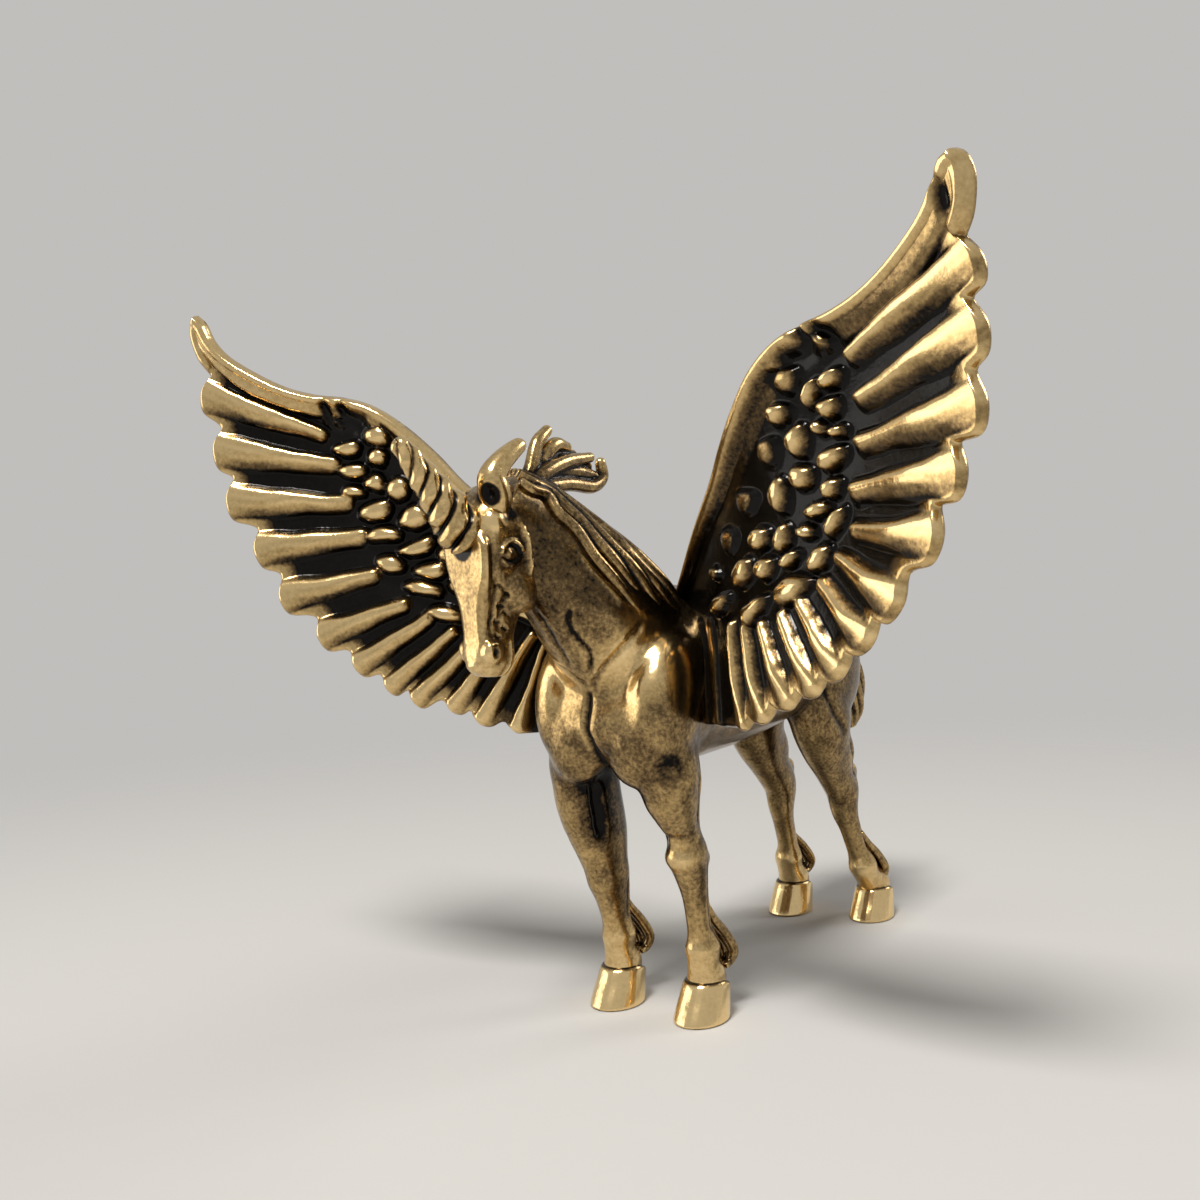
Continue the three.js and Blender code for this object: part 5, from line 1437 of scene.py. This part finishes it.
    def skin(self, cast: Casting) -> np.ndarray:
        """The patina of the head, with painted shade round the eye and painted highlights on the bone and the
        brow.

        Args:
            cast: The piece.

        Returns:
            The patina of each point.
        """
        below = -cast.co[:, 2]
        ahead = -cast.co[:, 1]
        plate = np.interp(below, (2.8, 5.4, 9.2, 11), (2.3, 1.97, 1.53, 1.0))
        base = 0.54 - 0.16 * smoothstep(plate - 0.25, plate, ahead) - 0.14 * smoothstep(8.4, 9.2, below)
        base += 0.03 * smoothstep(0.4, -1.2, ahead) * smoothstep(7, 5, below)
        patina = cast.tone(base, 5.5, 1.1, (5, 40))
        for hand in Hand:
            mirror = np.array([hand.value, 1, 1])
            # A painted highlight on the polished brow
            patina -= 0.6 * cast.near(mirror * self.brow, 1.0)
            patina += 0.5 * cast.near(mirror * self.nostril, 0.3)
            # Painted shade round the eye and a painted highlight on the bone
            # Sideways distance counts less, because these lines lie beside the face rather than on it
            for line, wide, dark in self.eye_shade_and_highlight:
                away, _ = to_line(cast.co * (0.4, 1, 1), mirror * line * (0.4, 1, 1))
                patina += dark * np.exp(-((away / wide) ** 2))
            away, _ = to_line(cast.co, mirror * self.ear_root)
            patina += 0.45 * smoothstep(1.3, 1.0, away)
        # A dark ring where the horn is let in
        away, _ = to_line(cast.co, np.array([HORN_FOOT, HORN_TIP]))
        return np.clip(patina + 0.6 * smoothstep(1.3, 1.1, away), 0, 1)


@dataclass
class Horn:
    """The horn: a blunt cone of strands twisted like a rope's."""

    strands: int = 3
    turns: float = 2.1
    tightening: float = 0.9
    wander: float = 0.16
    fullness: float = 0.55
    groove: float = 0.3
    tip_from: float = 0.97
    # Radii at shares of the way from the foot to the tip
    radii: Rows = (
        (0.0, 0.9), (0.045, 1.4), (0.092, 1.6), (0.274, 1.38), (0.546, 1.0), (0.818, 0.7), (0.946, 0.58),
        (1.0, 0.32))
    sides: int = 72
    steps: int = 200

    def make(self, yard: Yard, head: Head) -> None:
        """Builds and dresses the piece.

        Args:
            yard: What it is finished with.
            head: The head it stands on.
        """
        cast = Casting("horn_casting")
        foot, tip = head.world([HORN_FOOT, HORN_TIP])
        along = tip - foot
        length = np.linalg.norm(along)
        along /= length
        across = np.cross(along, [0, 0, 1.0])
        across /= np.linalg.norm(across)
        deep = np.cross(along, across)
        bpy.ops.mesh.primitive_grid_add(x_subdivisions=self.sides, y_subdivisions=self.steps, size=2.0)
        bpy.ops.object.mode_set(mode="OBJECT")
        cast.read()
        angle = (cast.co[:, 0] + 1) * math.pi
        run = (cast.co[:, 1] + 1) / 2
        wide = np.interp(run, *np.array(self.radii).T)
        twist = 2 * math.pi * self.turns * run**self.tightening - angle + self.wander * np.sin(9 * run + 1.0)
        band = np.abs(np.sin(self.strands * twist / 2)) ** self.fullness
        swell = 1 - self.groove * (1 - band) + 0.05 * np.sin(40 * run) + 0.03 * np.sin(3 * angle + 25 * run)
        past = np.clip((run - self.tip_from) / (1 - self.tip_from), 0, 1)
        radius = wide * swell * np.sqrt(1 - past**2) * (run > 0)
        cast.co = (foot + (run * length)[:, None] * along + (radius * np.cos(angle))[:, None] * across
                   + (radius * np.sin(angle))[:, None] * deep)
        groove = smoothstep(0.74, 0.34, band) * (1 - 0.45 * smoothstep(0.4, 0.9, run))
        patina = np.clip(0.14 + groove + 0.22 * smoothstep(0.5, 0.0, run), 0, 1)
        cast.keep("patina", patina)
        cast.write()
        bpy.ops.object.mode_set(mode="EDIT")
        bpy.ops.mesh.select_all(action="SELECT")
        bpy.ops.mesh.remove_doubles(threshold=0.0005)
        cast.face_out()
        cast.read()
        cast.ease(1, keep=False)
        cast.settle(cast.kept("patina"), yard.polished, Slot.POLISHED, ("horn",), yard.shift)


@dataclass
class Ear:
    """An ear lying back, with a cupped opening in front."""

    hand: Hand
    path: Rows
    opening: Row
    voxel: float = 0.055

    def make(self, yard: Yard, head: Head) -> None:
        """Builds and dresses the piece.

        Args:
            yard: What it is finished with.
            head: The head it grows from.
        """
        s = self.hand.value
        cast = Casting(f"ear_{self.hand.side}_casting")
        cast.loft([(s * x, y, z, wide, deep) for x, y, z, wide, deep in self.path], per=5, sides=22)
        cast.fuse(self.voxel, ease=3)
        opening = np.array([s * self.opening[0], *self.opening[1:]])
        cast.dent(opening, 1.0, -0.2)
        cast.find_normals()
        cast.dent(opening, 0.54, 1.1, (1, 1, 0.9))
        cast.find_normals()
        cast.ease(2, keep=False)
        inside = smoothstep(0.64, 0.46, np.linalg.norm((cast.co - opening) * (1, 0.6, 0.85), axis=1))
        patina = np.clip(cast.tone(0.26, 4.0, 0.8) + 0.9 * inside, 0, 1)
        cast.co = head.world(cast.co)
        cast.settle(patina, yard.patina, Slot.PATINA, (f"ear_{self.hand.side}",), yard.shift)


def left_ear() -> Ear:
    """Shapes the left ear, pricked up and back.

    Returns:
        The ear.
    """
    path = ((0.8, -0.3, -2.1, 0.4, 0.4), (1.15, -0.65, -1.4, 0.74, 0.7), (1.45, -1.05, -0.6, 0.92, 0.9),
            (1.46, -1.3, 0.4, 0.85, 0.8), (1.5, -0.75, 1.25, 0.72, 0.68), (1.48, 0.05, 1.95, 0.58, 0.56),
            (1.42, 0.7, 2.4, 0.45, 0.44), (1.4, 0.95, 2.6, 0.2, 0.2))
    return Ear(Hand.LEFT, path, (1.8, -1.75, -0.6))


def right_ear() -> Ear:
    """Shapes the right ear, laid back along the neck.

    Returns:
        The ear.
    """
    path = ((0.8, -0.5, -2.0, 0.4, 0.4), (1.2, -0.8, -1.4, 0.6, 0.56), (1.42, -0.7, -0.8, 0.66, 0.64),
            (1.55, 0.1, -0.35, 0.62, 0.6), (1.62, 1.0, 0.0, 0.5, 0.5), (1.62, 1.9, 0.3, 0.34, 0.34),
            (1.55, 2.5, 0.45, 0.12, 0.12))
    return Ear(Hand.RIGHT, path, (1.7, -1.3, -0.85))


@dataclass
class Mane:
    """The mane: long low strands down both sides of the crest, and locks thrown back from the poll."""

    neck: Rows
    voxel: float = 0.075
    # Strands as share of the way up the neck, degrees down from the crest and half thickness
    strands: tuple[Rows, ...] = (
        ((1, 58, 0.28), (0.91, 61, 0.34), (0.81, 56, 0.36), (0.73, 74, 0.36), (0.62, 80, 0.36),
         (0.51, 91, 0.36), (0.4, 95, 0.34), (0.25, 97, 0.24)),
        ((1, 38, 0.3), (0.9, 44, 0.36), (0.8, 44, 0.4), (0.7, 58, 0.42), (0.63, 64, 0.42), (0.54, 74, 0.42),
         (0.43, 80, 0.4), (0.29, 82, 0.28)),
        ((1, 22, 0.3), (0.9, 28, 0.38), (0.79, 34, 0.44), (0.69, 46, 0.46), (0.59, 57, 0.46),
         (0.47, 66, 0.46), (0.33, 72, 0.42), (0.2, 76, 0.28)),
        ((1, 8, 0.3), (0.9, 13, 0.4), (0.78, 20, 0.48), (0.66, 30, 0.5), (0.55, 40, 0.5), (0.45, 48, 0.5),
         (0.36, 58, 0.46), (0.23, 64, 0.36), (0.12, 66, 0.2)),
        ((1, -5, 0.3), (0.85, 0, 0.46), (0.7, 8, 0.5), (0.55, 18, 0.52), (0.42, 30, 0.5), (0.3, 42, 0.48),
         (0.18, 50, 0.36), (0.08, 55, 0.2)))
    # Locks as places and half thickness
    locks: tuple[Rows, ...] = (
        ((-2.3, -19.8, 33.6, 0.5), (-2.2, -19.4, 34.6, 0.42), (-2.2, -18.8, 36.0, 0.38),
         (-2.2, -17.8, 36.8, 0.32)),
        ((-2.4, -19.2, 33.8, 0.5), (-2.3, -18.3, 35.1, 0.44), (-2.2, -17.1, 36.0, 0.42),
         (-2.2, -15.9, 35.9, 0.3)),
        ((-2.0, -20.0, 33.3, 0.48), (-1.8, -18.8, 34.2, 0.44), (-1.8, -16.6, 34.95, 0.4),
         (-1.8, -14.1, 35.3, 0.3)),
        ((-1.9, -19.4, 33.3, 0.46), (-1.8, -16.4, 33.6, 0.4), (-1.8, -14.0, 33.5, 0.4),
         (-1.8, -12.85, 34.1, 0.38), (-1.8, -12.95, 35.0, 0.32)),
        ((-2.2, -19.0, 33.5, 0.48), (-2.1, -17.0, 34.3, 0.4), (-2.05, -15.2, 34.4, 0.38),
         (-2.0, -13.5, 34.2, 0.3)),
        ((-3.0, -19.4, 32.8, 0.48), (-3.2, -17.2, 33.8, 0.42), (-3.3, -15.2, 34.5, 0.38),
         (-3.2, -13.6, 34.7, 0.26)),
        ((-2.5, -20.8, 33.2, 0.55), (-2.3, -19.6, 34.0, 0.5), (-2.3, -18.6, 34.6, 0.42),
         (-2.4, -17.8, 34.9, 0.3)),
        ((-2.4, -18.9, 33.9, 0.46), (-2.3, -17.6, 34.9, 0.42), (-2.3, -16.3, 35.3, 0.36),
         (-2.3, -15.2, 35.5, 0.26)),
        ((-2.3, -18.6, 33.5, 0.46), (-2.2, -16.8, 34.0, 0.4), (-2.2, -15.0, 34.8, 0.34),
         (-2.2, -13.8, 34.8, 0.26)))
    lock_size: float = 1.12
    lift: float = 0.13
    end_lift: float = -0.25

    def crest(self, share: float, angle: float, lift: float, hand: float) -> np.ndarray:
        """A place on the neck's skin.

        Args:
            share: Share of the way from the withers to the poll.
            angle: Degrees down from the crest.
            lift: How far above the skin.
            hand: 1 for the left side, -1 for the right.

        Returns:
            The place.
        """
        line = spline(self.neck, 10)
        at = share * (len(line) - 1)
        row = read_line(line, at)
        along = read_line(np.gradient(line[:, :3], axis=0), at)
        along /= np.linalg.norm(along)
        across = ACROSS - along * along[0]
        across /= np.linalg.norm(across)
        back = np.cross(across, along)
        back *= np.sign(back[1])
        turn = math.radians(angle)
        out = hand * math.sin(turn) * across
        return row[:3] + out * (row[3] + lift) + math.cos(turn) * back * (row[4] + lift)

    def make(self, yard: Yard) -> None:
        """Builds and dresses the piece.

        Args:
            yard: What it is finished with.
        """
        cast = Casting("mane_casting")
        for hand in Hand:
            for strand in self.strands:
                rows = []
                for i, (share, angle, thick) in enumerate(strand):
                    lift = self.lift if i + 1 < len(strand) else self.end_lift
                    rows.append((*self.crest(share, angle, lift, hand.value), thick, thick))
                cast.loft(rows, per=4, sides=10)
        tips = []
        for lock in self.locks:
            rows = [(x, y, z, self.lock_size * thick, self.lock_size * thick) for x, y, z, thick in lock]
            cast.loft(rows, per=5, sides=12)
            tips.append((*rows[-1], rows[-1][-1], 0))
        cast.lumps(tips)
        cast.fuse(self.voxel, ease=2)
        base = 0.74 - 0.14 * smoothstep(33.8, 35.4, cast.co[:, 2])
        patina = cast.tone(base, 12.0, 3.4, (4, 26))
        cast.settle(patina, yard.dark, Slot.DARK, ("mane",), yard.shift)


@dataclass
class Tail:
    """The tail: a bundle of wavy strands."""

    voxel: float = 0.085
    path: Rows = (
        (0.0, 12.6, 22.6, 0.62), (0.0, 14.5, 22.8, 0.85), (0.0, 16.6, 21.2, 1.02), (0.1, 18.0, 18.3, 1.1),
        (0.2, 18.4, 15.8, 0.8), (0.2, 18.0, 14.3, 0.3))
    strands: int = 7
    core: float = 0.6
    spread: float = 0.74
    sway: float = 0.12
    thickness: float = 0.36

    def make(self, yard: Yard) -> None:
        """Builds and dresses the piece.

        Args:
            yard: What it is finished with.
        """
        cast = Casting("tail_casting")
        cast.loft([(x, y, z, self.core * r, self.core * r) for x, y, z, r in self.path], per=4, sides=16)
        for k in range(self.strands):
            rows = []
            for i, (x, y, z, r) in enumerate(self.path):
                around = 2 * math.pi * k / self.strands + 0.5 * i
                out = r * (self.spread + self.sway * math.sin(2.3 * k + 1.9 * i))
                rows.append((x + out * math.cos(around), y + out * math.sin(around),
                             z + 0.25 * r * math.sin(around), self.thickness * r, self.thickness * r))
            cast.loft(rows, per=4, sides=10)
        cast.fuse(self.voxel, ease=2)
        patina = cast.tone(0.6, 7.0, 2.0, (4, 26))
        cast.settle(patina, yard.dark, Slot.DARK, ("tail",), yard.shift)


@dataclass
class Hooves:
    """The four hooves, all alike, each under its coronet groove."""

    places: dict[str, tuple[float, float]]
    voxel: float = 0.075
    rings: Rows = (
        (2.45, 0.36, 1.26, 1.44), (2.25, 0.3, 1.42, 1.62), (1.5, 0.04, 1.54, 1.76), (0.7, -0.26, 1.63, 1.94),
        (0.14, -0.44, 1.68, 2.06), (0.0, -0.44, 1.6, 1.98))
    height: float = 2.4
    heel_drop: float = 0.5
    heel_split: float = 0.3

    def make(self, yard: Yard) -> None:
        """Models one hoof, copies it to the other places and dresses them all.

        Args:
            yard: What they are finished with.
        """
        (first, (x, y)), *others = self.places.items()
        cast = Casting(f"{first}_casting")
        cast.loft([(x, y + back, z, wide, deep) for z, back, wide, deep in self.rings], level=True, sides=28)
        cast.fuse(self.voxel, ease=2)
        back = cast.co[:, 1] - y
        heel = smoothstep(0.6, 2.2, back) * np.exp(-(((cast.co[:, 0] - x) / 0.35) ** 2))
        cast.co[:, 1] -= self.heel_split * heel
        # The heel is lower than the toe
        drop = self.heel_drop * smoothstep(0.0, 2.0, back)
        cast.co[:, 2] -= drop * cast.co[:, 2] / self.height
        cast.co[:, 2] = np.maximum(cast.co[:, 2], 0.0)
        patina = cast.tone(0.03, 3.0, 0.3)
        top = smoothstep(2.22, 2.42, cast.co[:, 2] + drop)
        patina = np.clip(patina + 0.8 * top + 0.5 * smoothstep(0.14, 0.0, cast.co[:, 2]), 0, 1)
        hooves = {first: cast}
        for node, place in others:
            hooves[node] = cast.twin(f"{node}_casting", (place[0] - x, place[1] - y, 0))
        for node, hoof in hooves.items():
            hoof.settle(patina, yard.polished, Slot.POLISHED, (node,), yard.shift)


@dataclass
class FetlockTufts:
    """The curled feathers of hair behind a pair of fetlocks."""

    places: dict[str, float]
    fetlock: float
    lean: float
    voxel: float = 0.06
    reach: float = 4.2
    # Strands as place across, how far out they swing and half thickness
    strands: Rows = ((-0.6, 0.0, 0.32), (-0.2, 0.3, 0.34), (0.25, 0.2, 0.34), (0.65, -0.1, 0.32))
    # The curl of a strand as share of the reach, how far behind and share of the thickness
    curl: Rows = (
        (0.0, -0.6, 0.6), (0.25, -0.1, 0.9), (0.5, 0.65, 1.05), (0.78, 1.25, 1.05), (0.96, 1.1, 0.9),
        (1.0, 0.5, 0.6))

    def make(self, yard: Yard) -> None:
        """Models the left tuft, copies it to the right and dresses both.

        Args:
            yard: What they are finished with.
        """
        (left, left_x), (right, right_x) = self.places.items()
        cast = Casting(f"{left}_casting")
        top = FETLOCK_HEIGHT + 0.62 * self.reach
        back = self.fetlock + 1.1
        for across, out, thick in self.strands:
            rows = []
            for drop, behind, size in self.curl:
                wave = 0.26 * math.sin(8 * drop + 4 * across)
                rows.append((left_x + across * (0.45 + 0.95 * drop) + wave * drop,
                             back + behind + out * drop - self.lean * (1 - drop) ** 2,
                             top - drop * self.reach, thick * size, thick * size))
            cast.loft(rows, per=4, sides=10)
        cast.fuse(self.voxel, ease=2)
        patina = cast.tone(0.6, 10.0, 2.4, (4, 26))
        other = cast.twin(f"{right}_casting", (right_x - left_x, 0, 0))
        cast.settle(patina, yard.dark, Slot.DARK, (left,), yard.shift)
        other.settle(patina, yard.dark, Slot.DARK, (right,), yard.shift)


@dataclass(frozen=True)
class Lamp:
    """A soft square lamp, with its places and size in metres and its power in watts."""

    name: str
    place: Row
    aim: Row
    size: float
    power: float
    colour: Row

    def hang(self) -> None:
        """Adds the lamp to the scene."""
        bpy.ops.object.light_add(type="AREA", location=self.place)
        lamp = bpy.context.object
        lamp.name = self.name
        lamp.data.size = self.size
        lamp.data.energy = self.power
        lamp.data.color = self.colour
        lamp.rotation_euler = (Vector(self.aim) - Vector(self.place)).to_track_quat("-Z", "Y").to_euler()


@dataclass
class Studio:
    """Camera, light and floor."""

    shift: Vector
    eye: Row = (45.96, -79.68, 29.29)
    pitch: float = math.radians(2.032)
    roll: float = math.radians(-2.411)
    yaw: float = math.radians(35.862)
    sensor: float = 36.0
    lens: float = 39.0
    pale: Row = (0.53, 0.52, 0.505)
    room: Row = (0.6, 0.58, 0.55)
    room_strength: float = 0.45
    floor_colour: Row = (0.47, 0.46, 0.445)
    floor_fade: Row = (0.03, 0.17)
    lamps: tuple[Lamp, ...] = (
        Lamp("key_lamp", (-0.42, -0.26, 0.07), (0, 0, 0.025), 0.35, 0.7, (1.0, 0.96, 0.9)),
        Lamp("top_lamp", (0.03, -0.24, 0.4), (0, 0, 0.02), 0.12, 2.6, (1.0, 0.98, 0.95)),
        Lamp("back_lamp", (0.22, 0.3, 0.24), (0, 0, 0.03), 0.16, 0.6, (1.0, 0.98, 0.96)))

    def camera(self) -> None:
        """Sets the camera at the photograph's viewing angle."""
        right = Vector((math.cos(self.yaw), math.sin(self.yaw), 0))
        level = Vector((-math.sin(self.yaw), math.cos(self.yaw), 0))
        ahead = math.cos(self.pitch) * level - math.sin(self.pitch) * Vector((0, 0, 1))
        up = right.cross(ahead)
        tilted = math.cos(self.roll) * right + math.sin(self.roll) * up
        head_up = -math.sin(self.roll) * right + math.cos(self.roll) * up
        bpy.ops.object.select_all(action="DESELECT")
        bpy.ops.object.camera_add(location=(Vector(self.eye) + self.shift) * MM)
        eye = bpy.context.object
        eye.rotation_euler = Matrix((tilted, head_up, -ahead)).transposed().to_euler()
        eye.data.sensor_width = self.sensor
        eye.data.lens = self.lens
        eye.data.clip_start = 0.002
        eye.data.clip_end = 20.0
        bpy.context.scene.camera = eye

    def light(self) -> None:
        """Hangs the lamps and sets the room's light, which the camera and mirrors see as a pale wall."""
        for lamp in self.lamps:
            lamp.hang()
        world = bpy.data.worlds.new("room")
        bpy.context.scene.world = world
        world.use_nodes = True
        tree = world.node_tree
        room = tree.nodes["Background"]
        feed(tree, room, {"Color": (*self.room, 1), "Strength": self.room_strength})
        wall = add_node(tree, "Background", {"Color": (*self.pale, 1)})
        ray = add_node(tree, "LightPath", {})
        seen = ray.outputs["Is Camera Ray"]
        for other in ("Is Glossy Ray", "Is Transmission Ray"):
            seen = add_node(tree, "Math", {0: seen, 1: ray.outputs[other]}, operation="MAXIMUM").outputs[0]
        mixed = add_node(tree, "MixShader", {0: seen, 1: room.outputs[0], 2: wall.outputs[0]})
        feed(tree, tree.nodes["World Output"], {"Surface": mixed.outputs[0]})
        bpy.context.scene.view_settings.view_transform = "Standard"

    def floor(self) -> None:
        """Lays the pale floor, which fades into the pale room."""
        bpy.ops.mesh.primitive_circle_add(vertices=96, radius=1.0, fill_type="NGON", location=(0, 0, 0))
        ground = bpy.context.object
        ground.name = "floor"
        paint = bpy.data.materials.new("pale_floor")
        paint.use_nodes = True
        tree = paint.node_tree
        shader = tree.nodes["Principled BSDF"]
        feed(tree, shader, {"Base Color": (*self.floor_colour, 1), "Roughness": 0.8})
        place = add_node(tree, "TexCoord", {}).outputs["Object"]
        reach = add_node(tree, "VectorMath", {0: place}, operation="LENGTH").outputs["Value"]
        fade = {"Value": reach, "From Min": self.floor_fade[0], "From Max": self.floor_fade[1]}
        share = add_node(tree, "MapRange", fade, interpolation_type="SMOOTHSTEP").outputs["Result"]
        clear = add_node(tree, "BsdfTransparent", {})
        mixed = add_node(tree, "MixShader", {0: share, 1: shader.outputs[0], 2: clear.outputs[0]})
        feed(tree, tree.nodes["Material Output"], {"Surface": mixed.outputs[0]})
        ground.data.materials.append(paint)


def part_shift() -> Vector:
    """Finds the part's place from where the left fore hoof was packed.

    Returns:
        The shift from the horse's frame to the part's, in millimetres.
    """
    low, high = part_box("hoof_fore_left")
    return Vector(((low.x + high.x) / 2 / MM - HALF_TRACK, (low.y + high.y) / 2 / MM - FORE_HOOF_Y, 0.0))


def main() -> None:
    """Builds every piece, then the studio."""
    logging.basicConfig(level=logging.INFO, format="%(message)s")
    shift = part_shift()
    yard = Yard(
        shift=shift,
        polished=BrassFinish("polished_brass").material(),
        patina=BrassFinish("patinated_brass").material(),
        dark=BrassFinish("dark_brass").material(),
        wing=BrassFinish("wing_brass", mottle=0.2, speckle=0.28, black_roughness=0.13, gloss=0.24).material(),
    )
    studio = Studio(shift)
    studio.camera()
    body = Body()
    body.make(yard)
    head = Head()
    head.make(yard)
    Horn().make(yard, head)
    left_ear().make(yard, head)
    right_ear().make(yard, head)
    Mane(body.neck).make(yard)
    Tail().make(yard)
    hooves = {}
    for hand in Hand:
        x = hand.value * HALF_TRACK
        hooves[f"hoof_fore_{hand.side}"] = (x, FORE_HOOF_Y)
        hooves[f"hoof_hind_{hand.side}"] = (x, body.hind_hoof + hand.value * body.stagger)
    Hooves(hooves).make(yard)
    for pair, fetlock, lean in (("fore", FORE_HOOF_Y, 0.3), ("hind", HIND_FETLOCK_Y, 1.2)):
        places = {f"fetlock_tuft_{pair}_{hand.side}": hand.value * HALF_TRACK for hand in Hand}
        FetlockTufts(places, fetlock, lean).make(yard)
    left_wing().make(yard)
    right_wing().make(yard)
    studio.light()
    studio.floor()


if __name__ == "__main__":
    main()
